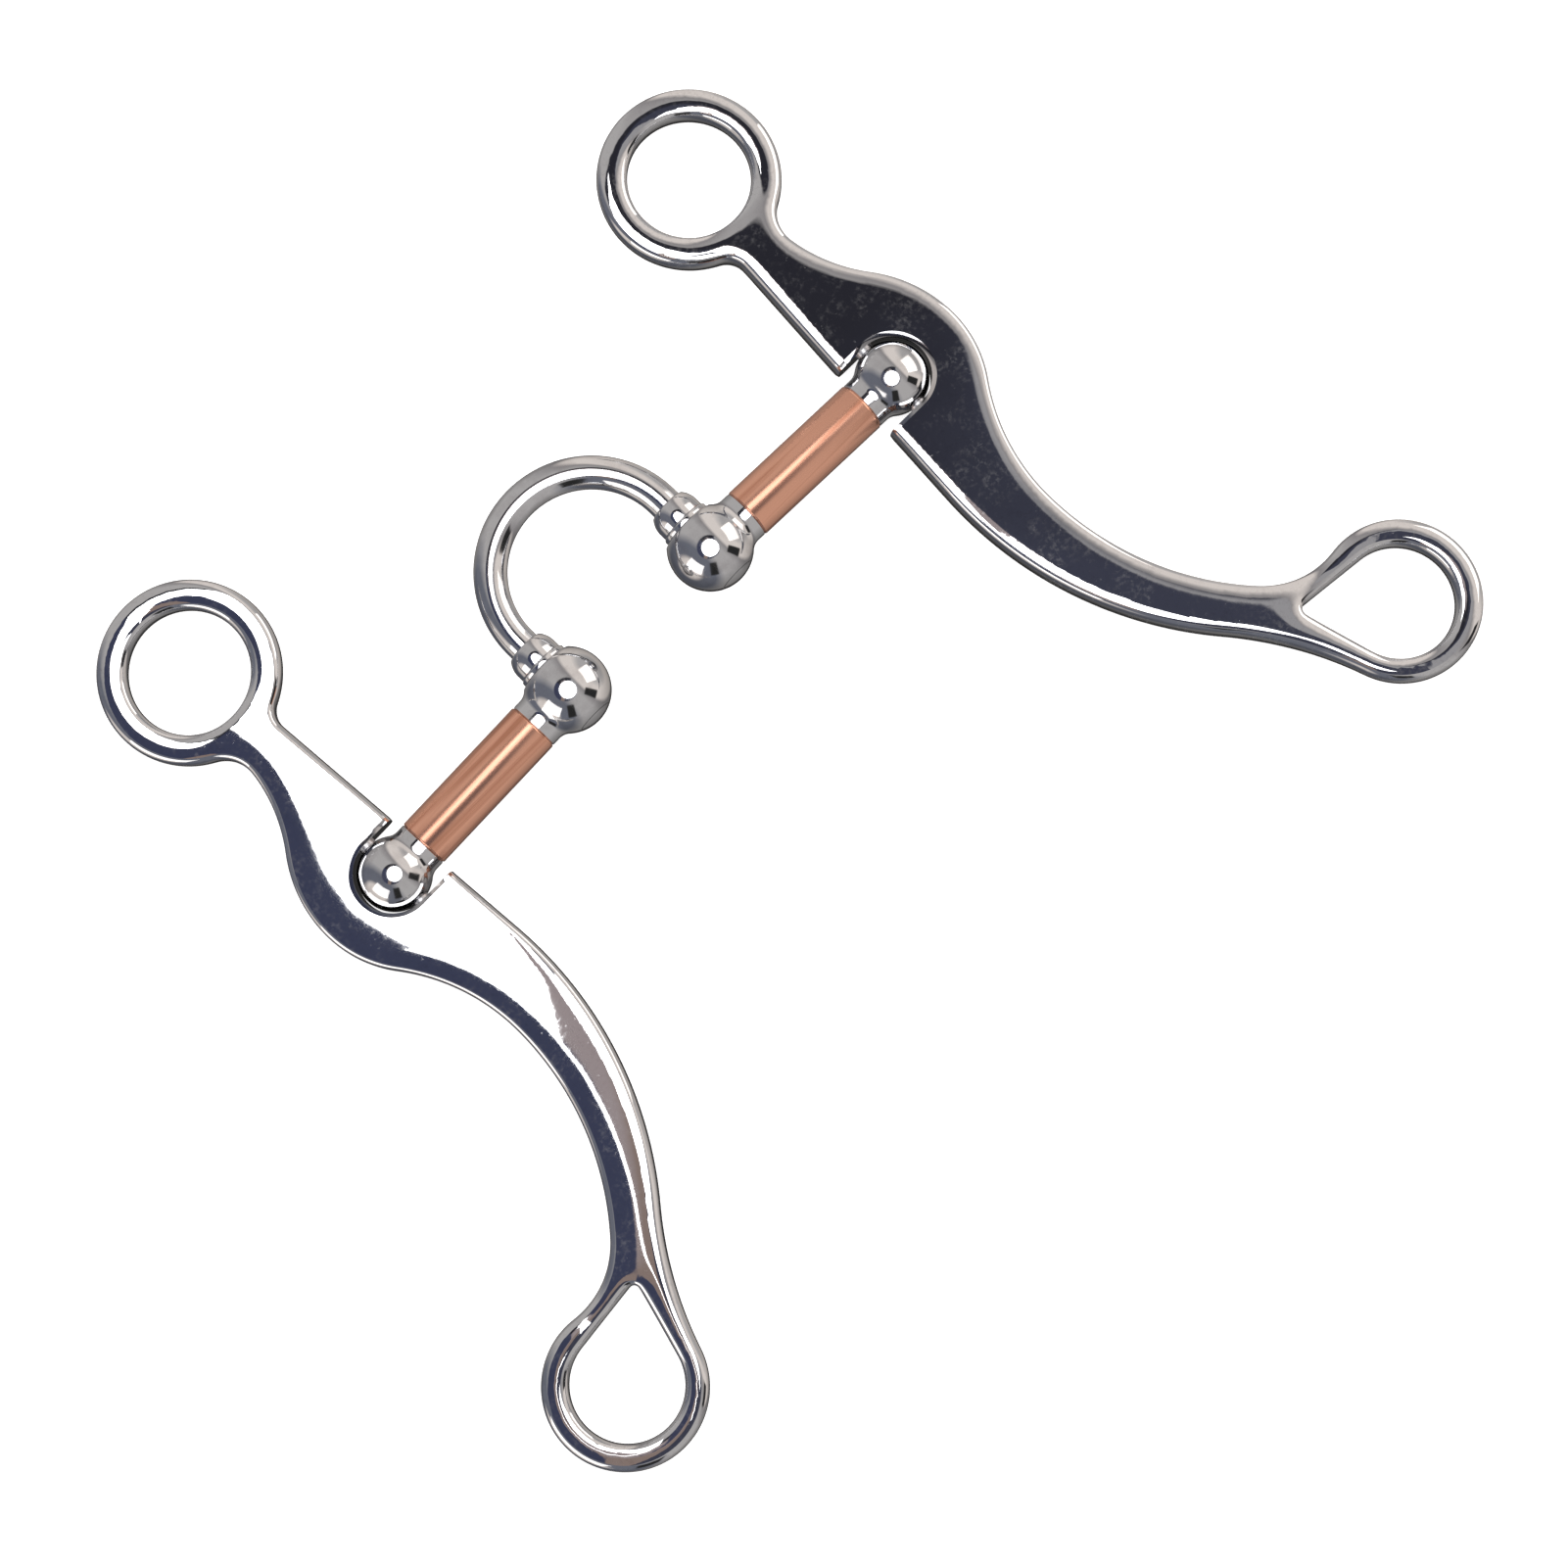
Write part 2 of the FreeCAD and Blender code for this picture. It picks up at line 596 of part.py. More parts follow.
def make_pin_plug():
    """The plug's outer end follows the wall of the bridle ring's hole."""
    blank = cylinder("plug_blank", "Sizes.pin_radius", "Sizes.plug_length + Sizes.pin_radius")
    blank.Placement = Placement(Vector(0, hole_foot - size("plug_length"), 0), LYING)
    wall = "Sizes.bridle_hole_radius + Sizes.plug_recess"
    hole = cylinder("plug_hole", wall, "Sizes.shank_thickness")
    depth = -size("shank_thickness") / 2
    hole.Placement = Placement(Vector(size("bridle_offset"), size("bridle_height"), depth), Rotation())
    plug = bored("right_pin_plug", blank, hole)
    plug.Placement = shank_place
    return plug


# ---- balls with necks -------------------------------------------------------------


def draw_ball(sketch, ball, neck_end, socket_floor, bearing):
    """Half section through a ball, its neck and the socket for the core rod."""
    ball_radius = size(ball)
    neck = size("neck_radius")
    blend = size("neck_blend")
    socket = size("core_radius")
    blend_reach = math.sqrt((ball_radius + blend) ** 2 - (neck + blend) ** 2)
    turn = math.radians(bearing)

    def spot(along, off):
        x = along * math.cos(turn) - off * math.sin(turn)
        y = along * math.sin(turn) + off * math.cos(turn)
        return (x, y)

    blend_centre = spot(blend_reach, neck + blend)
    waist = point_at((0, 0), ball_radius, blend_centre)
    pole = spot(-ball_radius, 0)
    axis = line(sketch, pole, spot(size(neck_end), 0), True)
    shell = arc(sketch, (0, 0), ball_radius, waist, pole)
    hollow = arc(sketch, blend_centre, blend, waist, spot(blend_reach, neck))
    side = line(sketch, spot(blend_reach, neck), spot(size(neck_end), neck))
    rim = line(sketch, spot(size(neck_end), neck), spot(size(neck_end), socket))
    wall = line(sketch, spot(size(neck_end), socket), spot(size(socket_floor), socket))
    floor = line(sketch, spot(size(socket_floor), socket), spot(size(socket_floor), 0))
    middle = line(sketch, spot(size(socket_floor), 0), pole)
    rule(sketch, "Tangent", shell, START, hollow, START)
    rule(sketch, "Tangent", hollow, END, side, START)
    for before, after in ((side, rim), (rim, wall), (wall, floor), (floor, middle)):
        rule(sketch, "Coincident", before, END, after, START)
    rule(sketch, "Coincident", middle, END, shell, END)
    rule(sketch, "Coincident", axis, START, shell, END)
    rule(sketch, "Coincident", shell, CENTRE, *ORIGIN_POINT)
    rule(sketch, "PointOnObject", *ORIGIN_POINT, axis)
    rule(sketch, "PointOnObject", middle, START, axis)
    for across in (rim, floor):
        rule(sketch, "Perpendicular", across, axis)
    for level in (side, wall):
        rule(sketch, "Parallel", level, axis)
    rule(sketch, "Angle", axis, turn)
    drive(sketch, f"Sizes.{ball}", "Radius", shell, ball_radius)
    drive(sketch, "Sizes.neck_blend", "Radius", hollow, blend)
    drive(sketch, "Sizes.neck_radius", "Distance", side, END, axis, neck)
    drive(sketch, "Sizes.core_radius", "Distance", wall, END, axis, socket)
    drive(sketch, f"Sizes.{socket_floor}", "Distance", *ORIGIN_POINT, middle, START, size(socket_floor))
    drive(sketch, f"Sizes.{neck_end}", "Distance", *ORIGIN_POINT, axis, END, size(neck_end))
    rule(sketch, "PointOnObject", axis, END, rim)


def make_hinge_ball():
    body = new_body("right_hinge_ball")
    section = new_sketch(body, "hinge_ball_section")
    draw_ball(section, "hinge_ball_radius", "hinge_neck_end", "hinge_socket_floor", 180 - cannon_slope)
    revolve(body, "PartDesign::Revolution", section, "Axis0")
    bore = new_sketch(body, "hinge_ball_bore", "XZ_Plane")
    radius = size("pin_radius") + size("running_gap")
    circle = bore.addGeometry(Part.Circle(Vector(), FORWARD, radius))
    rule(bore, "Coincident", circle, CENTRE, *ORIGIN_POINT)
    drive(bore, "Sizes.pin_radius + Sizes.running_gap", "Radius", circle, radius)
    through_pocket(body, bore, "hinge_ball_opening")
    body.Placement = hinge_place
    return body


def head_top(radius):
    """How far below the ball's centre a cone starts that meets the ball's skin at a radius."""
    return math.sqrt(size("port_ball_radius") ** 2 - radius ** 2) - radius + size("tenon_radius")


def make_port_ball():
    body = new_body("right_port_ball")
    section = new_sketch(body, "port_ball_section")
    draw_ball(section, "port_ball_radius", "port_neck_end", "port_socket_floor", -cannon_slope)
    revolve(body, "PartDesign::Revolution", section, "Axis0")

    seat = new_sketch(body, "washer_seat")
    draw_washer_seat(seat)
    through_pocket(body, seat, "washer_flat")
    bore = new_sketch(body, "tenon_bore")
    draw_tenon_bore(bore)
    revolve(body, "PartDesign::Groove", bore, "V_Axis")
    body.Placement = cannon_place
    return body


def draw_washer_seat(sketch):
    """A block that cuts the ball flat under the washer."""
    low = size("seat_height")
    ball = size("port_ball_radius")
    corners = [(-ball, low), (ball, low), (ball, 2 * ball), (-ball, 2 * ball)]
    left, floor, right, roof = polygon(sketch, corners)
    for level in (floor, roof):
        rule(sketch, "Horizontal", level)
    for upright in (left, right):
        rule(sketch, "Vertical", upright)
    place_point(sketch, floor, START, ("-Sizes.port_ball_radius", -ball), ("Sizes.seat_height", low))
    place_point(sketch, right, END, ("Sizes.port_ball_radius", ball),
                ("2 * Sizes.port_ball_radius", 2 * ball))


def draw_tenon_bore(sketch):
    """Half section of the tenon's bore, which widens below to a seat for the peened end."""
    ball = size("port_ball_radius")
    bore = size("tenon_radius") + size("running_gap")
    cone_top = -head_top(size("head_radius"))
    corners = [(0, 2 * ball), (0, -2 * ball), (bore + cone_top + 2 * ball, -2 * ball), (bore, cone_top),
               (bore, 2 * ball)]
    roof, middle, floor, cone, wall = polygon(sketch, corners)
    for level in (floor, roof):
        rule(sketch, "Horizontal", level)
    rule(sketch, "Vertical", wall)
    rule(sketch, "Angle", cone, math.radians(135))
    place_point(sketch, middle, START, None, ("2 * Sizes.port_ball_radius", 2 * ball))
    place_point(sketch, middle, END, None, ("-2 * Sizes.port_ball_radius", -2 * ball))
    place_point(sketch, wall, START, ("Sizes.tenon_radius + Sizes.running_gap", bore),
                (f"-({HEAD_TOP})", cone_top))


# ---- cannon ------------------------------------------------------------------------


def make_cannon_core():
    height = f"{CANNON_LENGTH} - Sizes.port_socket_floor - Sizes.hinge_socket_floor"
    core = cylinder("right_cannon_core", "Sizes.core_radius", height)
    along = Placement(Vector(size("port_socket_floor"), 0, 0), Rotation(UPRIGHT, 90))
    core.Placement = cannon_place.multiply(sloped).multiply(along)
    return core


def make_copper_sleeve():
    height = f"{CANNON_LENGTH} - Sizes.port_neck_end - Sizes.hinge_neck_end"
    tube = cylinder("sleeve_blank", "Sizes.sleeve_radius", height)
    doc.recompute()
    broken = doc.addObject("Part::Chamfer", "sleeve_ends")
    broken.Base = tube
    edge_size = size("sleeve_edge")
    broken.Edges = [
        (number, edge_size, edge_size)
        for number, edge in enumerate(tube.Shape.Edges, start=1) if edge.isClosed()
    ]
    hole = cylinder("sleeve_bore", "Sizes.core_radius", height)
    sleeve = bored("right_copper_sleeve", broken, hole)
    along = Placement(Vector(size("port_neck_end"), 0, 0), Rotation(UPRIGHT, 90))
    sleeve.Placement = cannon_place.multiply(sloped).multiply(along)
    return sleeve


# ---- port ------------------------------------------------------------------------


def make_port_bar():
    """The arch in the frame of the two legs' middle, then a turned tenon on each leg."""
    body = new_body("port_bar")
    radius = half_leg
    rise = size("port_rise")
    path = new_sketch(body, "arch_path")
    right = line(path, (radius, collar_top), (radius, rise))
    bend = arc(path, (0, rise), radius, (radius, rise), (-radius, rise))
    left = line(path, (-radius, rise), (-radius, collar_top))
    rule(path, "Tangent", right, END, bend, START)
    rule(path, "Tangent", bend, END, left, START)
    rule(path, "Vertical", right)
    rule(path, "Vertical", left)
    drive(path, "Sizes.leg_spacing / 2", "Radius", bend, radius)
    place_point(path, bend, CENTRE, None, ("Sizes.port_rise", rise))
    top = f"{COLLAR_FOOT} + Sizes.collar_height"
    drive(path, top, "DistanceY", *ORIGIN_POINT, right, START, collar_top)
    drive(path, top, "DistanceY", *ORIGIN_POINT, left, END, collar_top)

    section = new_sketch(body, "bar_section", "XZ_Plane")
    section.AttachmentOffset = Placement(Vector(0, 0, -collar_top), Rotation())
    circle = section.addGeometry(Part.Circle(Vector(radius, 0, 0), FORWARD, size("bar_radius")))
    drive(section, "Sizes.bar_radius", "Radius", circle, size("bar_radius"))
    place_point(section, circle, CENTRE, ("Sizes.leg_spacing / 2", radius), None)
    arch = body.newObject("PartDesign::AdditivePipe", "arch")
    arch.Profile = section
    arch.Spine = (path, ["Edge1", "Edge2", "Edge3"])

    tenon = new_sketch(body, "tenon_section")
    draw_tenon(tenon)
    turned_leg = revolve(body, "PartDesign::Revolution", tenon, "Axis0")
    doc.recompute()
    mirrored = body.newObject("PartDesign::Mirrored", "other_tenon")
    mirrored.Originals = [turned_leg]
    mirrored.MirrorPlane = (origin_plane(body, "YZ_Plane"), [""])
    body.Tip = mirrored
    body.Placement = Placement(Vector(0, leg_place.Base.y, leg_place.Base.z), Rotation())
    return body


def draw_tenon(sketch):
    """Half section of one turned-down leg with its peened end, flush with the ball's skin."""
    skin = size("port_ball_radius")
    head = size("head_radius") - size("head_gap")
    wall = half_leg + size("tenon_radius")
    head_foot = -math.sqrt(skin ** 2 - head ** 2)
    axis = line(sketch, (half_leg, -skin), (half_leg, collar_top), True)
    shaft = line(sketch, (wall, collar_top), (wall, -head_top(head)))
    cone = line(sketch, (wall, -head_top(head)), (half_leg + head, head_foot))
    dome = arc(sketch, (half_leg, 0), skin, (half_leg, -skin), (half_leg + head, head_foot))
    middle = line(sketch, (half_leg, -skin), (half_leg, collar_top))
    lid = line(sketch, (half_leg, collar_top), (wall, collar_top))
    rule(sketch, "Coincident", lid, END, shaft, START)
    rule(sketch, "Coincident", shaft, END, cone, START)
    rule(sketch, "Coincident", cone, END, dome, END)
    rule(sketch, "Coincident", dome, START, middle, START)
    rule(sketch, "Coincident", middle, END, lid, START)
    rule(sketch, "Coincident", axis, START, middle, START)
    rule(sketch, "Coincident", axis, END, middle, END)
    rule(sketch, "Vertical", middle)
    rule(sketch, "Vertical", shaft)
    rule(sketch, "Horizontal", lid)
    rule(sketch, "PointOnObject", dome, CENTRE, middle)
    rule(sketch, "Angle", cone, math.radians(-45))
    place_point(sketch, dome, CENTRE, ("Sizes.leg_spacing / 2", half_leg), None)
    drive(sketch, "Sizes.port_ball_radius", "Radius", dome, skin)
    drive(sketch, "Sizes.leg_spacing / 2 + Sizes.head_radius - Sizes.head_gap", "DistanceX", *ORIGIN_POINT,
          cone, END, half_leg + head)
    place_point(sketch, shaft, START, ("Sizes.leg_spacing / 2 + Sizes.tenon_radius", wall),
                (f"{COLLAR_FOOT} + Sizes.collar_height", collar_top))


def make_port_washer():
    body = new_body("right_port_washer")
    rings = new_sketch(body, "washer_rings", "XZ_Plane")
    foot = size("seat_height") + size("washer_gap")
    rings.AttachmentOffset = Placement(Vector(0, 0, -foot), Rotation())
    for alias in ("washer_radius", "tenon_radius"):
        ring = rings.addGeometry(Part.Circle(Vector(), FORWARD, size(alias)))
        rule(rings, "Coincident", ring, CENTRE, *ORIGIN_POINT)
        drive(rings, f"Sizes.{alias}", "Radius", ring, size(alias))
    disc = body.newObject("PartDesign::Pad", "washer_disc")
    disc.Profile = rings
    disc.Reversed = True
    disc.setExpression("Length", "Sizes.washer_thickness")
    doc.recompute()
    rim = body.newObject("PartDesign::Fillet", "washer_rim")
    outer = [
        f"Edge{number}" for number, edge in enumerate(disc.Shape.Edges, start=1)
        if edge.isClosed() and edge.BoundBox.XMax > size("washer_radius") - NEAR
    ]
    rim.Base = (disc, outer)
    rim.setExpression("Radius", "Sizes.washer_edge")
    body.Placement = leg_place
    return body


def make_port_collar():
    """Bell-shaped: straight at its foot, then a round shoulder in to its top."""
    body = new_body("right_port_collar")
    section = new_sketch(body, "collar_section")
    bore = size("tenon_radius")
    base = size("collar_radius")
    neck = size("collar_top_radius")
    shoulder_foot = collar_foot + size("collar_base")
    shoulder_rise = collar_top - shoulder_foot
    step = base - neck
    shoulder = (shoulder_rise ** 2 + step ** 2) / (2 * step)
    inner = line(section, (bore, collar_top), (bore, collar_foot))
    foot = line(section, (bore, collar_foot), (base, collar_foot))
    side = line(section, (base, collar_foot), (base, shoulder_foot))
    shoulder_centre = (base - shoulder, shoulder_foot)
    round_side = arc(section, shoulder_centre, shoulder, (base, shoulder_foot), (neck, collar_top))
    top = line(section, (neck, collar_top), (bore, collar_top))
    rule(section, "Coincident", inner, END, foot, START)
    rule(section, "Coincident", foot, END, side, START)
    rule(section, "Tangent", side, END, round_side, START)
    rule(section, "Coincident", round_side, END, top, START)
    rule(section, "Coincident", top, END, inner, START)
    rule(section, "Vertical", inner)
    rule(section, "Vertical", side)
    rule(section, "Horizontal", foot)
    rule(section, "Horizontal", top)
    place_point(section, foot, START, ("Sizes.tenon_radius", bore), (COLLAR_FOOT, collar_foot))
    drive(section, "Sizes.collar_radius", "DistanceX", *ORIGIN_POINT, foot, END, base)
    drive(section, "Sizes.collar_base", "DistanceY", side, START, side, END, size("collar_base"))
    drive(section, "Sizes.collar_top_radius", "DistanceX", *ORIGIN_POINT, top, START, neck)
    drive(section, "Sizes.collar_height", "DistanceY", foot, START, top, START, size("collar_height"))
    revolve(body, "PartDesign::Revolution", section, "V_Axis")
    body.Placement = leg_place
    return body


def mirror_left(piece):
    twin = doc.addObject("Part::Mirroring", piece.Name.replace("right_", "left_"))
    twin.Source = piece
    twin.Base = Vector()
    twin.Normal = ALONG
    return twin


right_pieces = [
    make_port_collar(),
    make_port_washer(),
    make_port_ball(),
    make_cannon_core(),
    make_copper_sleeve(),
    make_hinge_ball(),
    make_shank(),
    make_hinge_pin(),
    make_pin_plug(),
]
port_bar = make_port_bar()
doc.recompute()
left_pieces = [mirror_left(piece) for piece in right_pieces]
doc.recompute()

nodes = [port_bar] + right_pieces + left_pieces
for item in doc.Objects:
    if "Invalid" in item.State or "Error" in item.State:
        raise RuntimeError(f"{item.Name} did not compute: {item.State}")
for node in nodes:
    node.Label = node.Name
    if node.Shape.isNull() or not node.Shape.isValid() or len(node.Shape.Solids) != 1:
        raise RuntimeError(f"{node.Label} is not one valid solid")

os.makedirs("parts", exist_ok=True)
for node in nodes:
    node.Shape.exportStep(f"parts/{node.Label}.step")
print(f"{len(nodes)} nodes, droop {shank_droop:.2f}, tilt {cannon_tilt:.2f}, slope {cannon_slope:.2f}")
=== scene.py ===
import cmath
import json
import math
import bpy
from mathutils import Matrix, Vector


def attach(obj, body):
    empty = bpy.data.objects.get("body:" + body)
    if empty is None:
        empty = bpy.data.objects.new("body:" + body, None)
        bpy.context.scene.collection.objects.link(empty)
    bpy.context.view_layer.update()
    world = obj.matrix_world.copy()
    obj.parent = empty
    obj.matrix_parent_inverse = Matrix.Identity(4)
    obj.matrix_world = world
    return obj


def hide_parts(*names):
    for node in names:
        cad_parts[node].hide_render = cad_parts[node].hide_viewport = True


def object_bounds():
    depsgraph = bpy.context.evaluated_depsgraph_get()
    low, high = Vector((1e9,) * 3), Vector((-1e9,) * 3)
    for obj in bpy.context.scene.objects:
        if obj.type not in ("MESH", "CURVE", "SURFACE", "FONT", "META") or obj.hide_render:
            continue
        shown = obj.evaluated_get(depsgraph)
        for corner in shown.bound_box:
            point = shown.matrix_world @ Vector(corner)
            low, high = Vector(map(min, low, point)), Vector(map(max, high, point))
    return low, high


bl_info = {
    "name": "Curb bit",
    "version": (1, 0, 0),
    "blender": (4, 5, 0),
    "location": "3D View > Sidebar > Curb bit",
    "description": "Polished cheeks, balls, port and copper sleeves for a curb bit with loose shanks",
    "category": "Object",
}

import bmesh
import bpy
import numpy as np
from mathutils import Matrix, Vector
from mathutils.geometry import delaunay_2d_cdt

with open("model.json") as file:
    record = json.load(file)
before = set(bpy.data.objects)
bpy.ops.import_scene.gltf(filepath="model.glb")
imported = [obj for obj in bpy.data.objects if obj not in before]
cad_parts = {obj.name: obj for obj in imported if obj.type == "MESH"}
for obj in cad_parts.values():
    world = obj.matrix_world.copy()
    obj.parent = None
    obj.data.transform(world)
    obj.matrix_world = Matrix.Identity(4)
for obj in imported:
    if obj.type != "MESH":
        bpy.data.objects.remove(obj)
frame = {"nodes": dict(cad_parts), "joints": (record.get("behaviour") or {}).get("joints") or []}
CAD_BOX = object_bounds()
MM = 0.001
SIDES = (("left", -1), ("right", 1))
ALONG = Vector((0, 1, 0))
JOINTS = {joint["name"]: joint for joint in frame["joints"]}


def number(value, name, note, **kind):
    return bpy.props.FloatProperty(name=name, description=note, default=value, **kind)


def length(value, name, note):
    """A size in millimetres."""
    return number(value * MM, name, note, min=0, unit="LENGTH", precision=5)


def degrees(value, name, note):
    return number(math.radians(value), name, note, subtype="ANGLE")


def colour(value, name, note):
    return bpy.props.FloatVectorProperty(
        name=name, description=note, default=value, size=3, min=0, max=1, subtype="COLOR"
    )


class CheekSizes(bpy.types.PropertyGroup):
    thickness: length(7, "Thickness", "At the hump's crest")
    bridle_offset: length(0.4, "Ring offset", "Bridle ring outward of the hinge pin")
    bridle_height: length(55.6, "Ring height", "Bridle ring above the outer ball")
    bridle_radius: length(18, "Bridle ring", "Outside radius of the bridle ring")
    bridle_hole: length(12, "Bridle hole", "Radius of the bridle ring's hole")
    outer_blend: length(7, "Outer blend", "Hollow under the bridle ring, outer edge")
    inner_blend: length(4, "Inner blend", "Hollow under the bridle ring, inner edge")
    purchase_reach: length(5.3, "Purchase reach", "Outer edge of the purchase at its narrowest")
    purchase_height: length(37, "Purchase height", "Height of that narrowest place")
    hump_reach: length(17.5, "Hump reach", "Outer edge of the hump at its crest")
    hump_height: length(0.8, "Hump height", "Height of the hump's crest")
    hump_upper: length(27.5, "Upper hump", "Radius of the hump above its crest")
    hump_lower: length(24, "Lower hump", "Radius of the hump below its crest")
    waist_reach: length(4.6, "Waist reach", "Outer edge of the shank's waist")
    waist_drop: length(38, "Waist drop", "Waist below the outer ball")
    throat_radius: length(18, "Throat", "Outer edge where it turns to the rein ring")
    throat_bearing: degrees(7.5, "Throat bearing", "Where it meets the ring, from its top")
    rein_reach: length(37.8, "Rein ring reach", "Rein ring outward of the hinge pin")
    rein_drop: length(99.7, "Rein ring drop", "Rein ring below the outer ball")
    rein_radius: length(16, "Rein ring", "Outside radius of the rein ring")
    rein_hole: length(11, "Rein hole", "Radius of the teardrop's round part")
    rein_hole_offset: length(0.5, "Rein hole offset", "Teardrop inward of the ring's centre")
    teardrop_reach: length(15, "Teardrop reach", "Point, inward of the teardrop's centre")
    teardrop_rise: length(12.7, "Teardrop rise", "Point, above the teardrop's centre")
    teardrop_tip: length(1.2, "Teardrop tip", "Rounding of the teardrop's point")
    back_reach: length(9.55, "Back reach", "Inner edge of the shank at its fullest")
    back_drop: length(30, "Back drop", "That place, below the outer ball")
    heel_radius: length(75, "Heel", "Inner edge where it turns to the rein ring")
    heel_bearing: degrees(18.6, "Heel bearing", "Where it meets the ring, below its middle")
    back_lean: degrees(4.2, "Back lean", "Lean of the straight inner edge")
    notch_radius: length(7.65, "Notch", "Radius of the notch round the outer ball")
    notch_edge: length(0.85, "Notch edge", "Bevel round the notch")
    droop: degrees(4.2036, "Droop", "Turn that rests the rein ring on the surface")
    fullness: number(0.75, "Fullness", "How soon the face rises from its rounded edge", min=0)
    flatness: number(2.2, "Flatness", "How flat the wide parts of the face are", min=1, max=8)


class BallSizes(bpy.types.PropertyGroup):
    port_ball: length(8.4, "Port ball", "Radius of the inner ball")
    hinge_ball: length(7.3, "Hinge ball", "Radius of the outer ball")
    neck: length(5.2, "Neck", "Radius of both necks")
    neck_blend: length(3, "Neck blend", "Hollow between ball and neck")
    port_neck_end: length(9.7, "Port neck end", "Inner ball's centre to the sleeve")
    hinge_neck_end: length(8, "Hinge neck end", "Outer ball's centre to the sleeve")
    core: length(3.4, "Core", "Radius of the rod inside the sleeve")
    port_socket: length(4.4, "Port socket", "Inner ball's centre to the rod's end")
    hinge_socket: length(3.4, "Hinge socket", "Outer ball's centre to the rod's end")
    pin_bore: length(1.95, "Pin bore", "Radius of the hinge pin's bore")
    seat_height: length(5.8, "Seat", "Flat on the inner ball, above its centre")


class PortSizes(bpy.types.PropertyGroup):
    rise: length(13.1, "Rise", "Centre of the arch above the inner balls")
    bar: length(3.3, "Bar", "Radius of the port bar")
    tenon: length(2.5, "Tenon", "Radius of the bar's turned-down ends")
    tenon_bore: length(2.55, "Tenon bore", "Bore that the tenon turns in")
    head: length(3.8, "Peened head", "Peened end under the ball")
    head_gap: length(0.1, "Head gap", "Between the peened end and its seat")
    washer_foot: length(5.9, "Washer foot", "Washer above the inner ball's centre")
    washer_thickness: length(1.2, "Washer thickness", "Of the bright ring")
    washer_radius: length(5.25, "Washer", "Outside radius of the bright ring")
    collar_height: length(4.6, "Collar height", "Of the bell-shaped collar")
    collar_base: length(1.6, "Collar base", "Straight part of the collar")
    collar_radius: length(4.9, "Collar", "Radius of the collar at its base")
    collar_top: length(3.75, "Collar top", "Radius of the collar at its top")


class SleeveSizes(bpy.types.PropertyGroup):
    radius: length(5.3, "Sleeve", "Outside radius of the copper sleeve")
    edge: length(0.35, "Sleeve edge", "Rounding of the sleeve's ends")


class FinishColours(bpy.types.PropertyGroup):
    steel: colour((0.66, 0.66, 0.67), "Steel", "Polished stainless steel")
    steel_dull: colour((0.55, 0.54, 0.55), "Dull steel", "Steel where polish has smeared")
    core: colour((0.50, 0.50, 0.52), "Core", "Turned steel of the pins and rods")
    copper: colour((0.98, 0.51, 0.35), "Copper", "Bright drawn copper")
    # Painted reflection: copper darkened in streaks along the draw lines, standing in for the dark
    # reflections on the tube.
    copper_painted_reflection: colour((0.60, 0.25, 0.15), "Dark copper", "Copper in its deeper draw lines")
    floor: colour((0.92, 0.92, 0.92), "Floor", "The surface that the bit lies on")


SIZE_GROUPS = {
    "curb_cheek": CheekSizes,
    "curb_ball": BallSizes,
    "curb_port": PortSizes,
    "curb_sleeve": SleeveSizes,
    "curb_finish": FinishColours,
}


# ---- node trees ----


class Wire:
    """A node's output, or a group's input, that plain expressions can add and multiply."""

    def __init__(self, board, socket):
        self.board = board
        self.socket = socket

    def __add__(self, other):
        return self.board.maths("ADD", self, other)

    def __sub__(self, other):
        return self.board.maths("SUBTRACT", self, other)

    def __rsub__(self, other):
        return self.board.maths("SUBTRACT", other, self)

    def __mul__(self, other):
        return self.board.maths("MULTIPLY", self, other)

    def __truediv__(self, other):
        return self.board.maths("DIVIDE", self, other)

    __radd__ = __add__
    __rmul__ = __mul__

    def at_least(self, other):
        return self.board.maths("MAXIMUM", self, other)

    def at_most(self, other):
        return self.board.maths("MINIMUM", self, other)

    def siblings(self):
        """Every output of the node that this one belongs to."""
        return [Wire(self.board, socket) for socket in self.socket.node.outputs]


class Board:
    """A node tree that nodes are added to."""

    def __init__(self, tree):
        self.tree = tree

    def node(self, kind, settings=None, inputs=None, output=0):
        """Add a node: its settings first, then the values or wires of its sockets."""
        made = self.tree.nodes.new(kind)
        for name, value in (settings or {}).items():
            if name == "stops":
                set_stops(made.color_ramp, value)
            else:
                setattr(made, name, value)
        for name, value in (inputs or {}).items():
            self.connect(value, made.inputs[name])
        return Wire(self, made.outputs[output]) if made.outputs else None

    def connect(self, value, socket):
        if isinstance(value, Wire):
            self.tree.links.new(value.socket, socket)
        else:
            socket.default_value = value

    def maths(self, operation, first, second=0.0):
        return self.node("ShaderNodeMath", {"operation": operation}, {0: first, 1: second})

    def noise(self, place, scale, detail=2.0, roughness=0.5):
        inputs = {"Vector": place, "Scale": scale, "Detail": detail, "Roughness": roughness}
        return self.node("ShaderNodeTexNoise", None, inputs)

    def ramp(self, factor, stops):
        return self.node("ShaderNodeValToRGB", {"stops": stops}, {0: factor})

    def blend(self, factor, first, second, how="MIX"):
        """Mix two colours."""
        inputs = {0: factor, 6: first, 7: second}
        return self.node("ShaderNodeMix", {"data_type": "RGBA", "blend_type": how}, inputs, 2)

    def stretched(self, place, scale):
        """A place scaled apart along the three axes."""
        return self.node("ShaderNodeMapping", None, {"Vector": place, "Scale": scale})


def rgba(value):
    return (*value, 1.0)


def grey(value):
    return rgba([value] * 3)


def set_stops(ramp, stops):
    while len(ramp.elements) < len(stops):
        ramp.elements.new(0.5)
    for element, (position, value) in zip(ramp.elements, stops):
        element.position = position
        element.color = value


def fade(first, last):
    """Stops from black to white."""
    return [(first, grey(0)), (last, grey(1))]


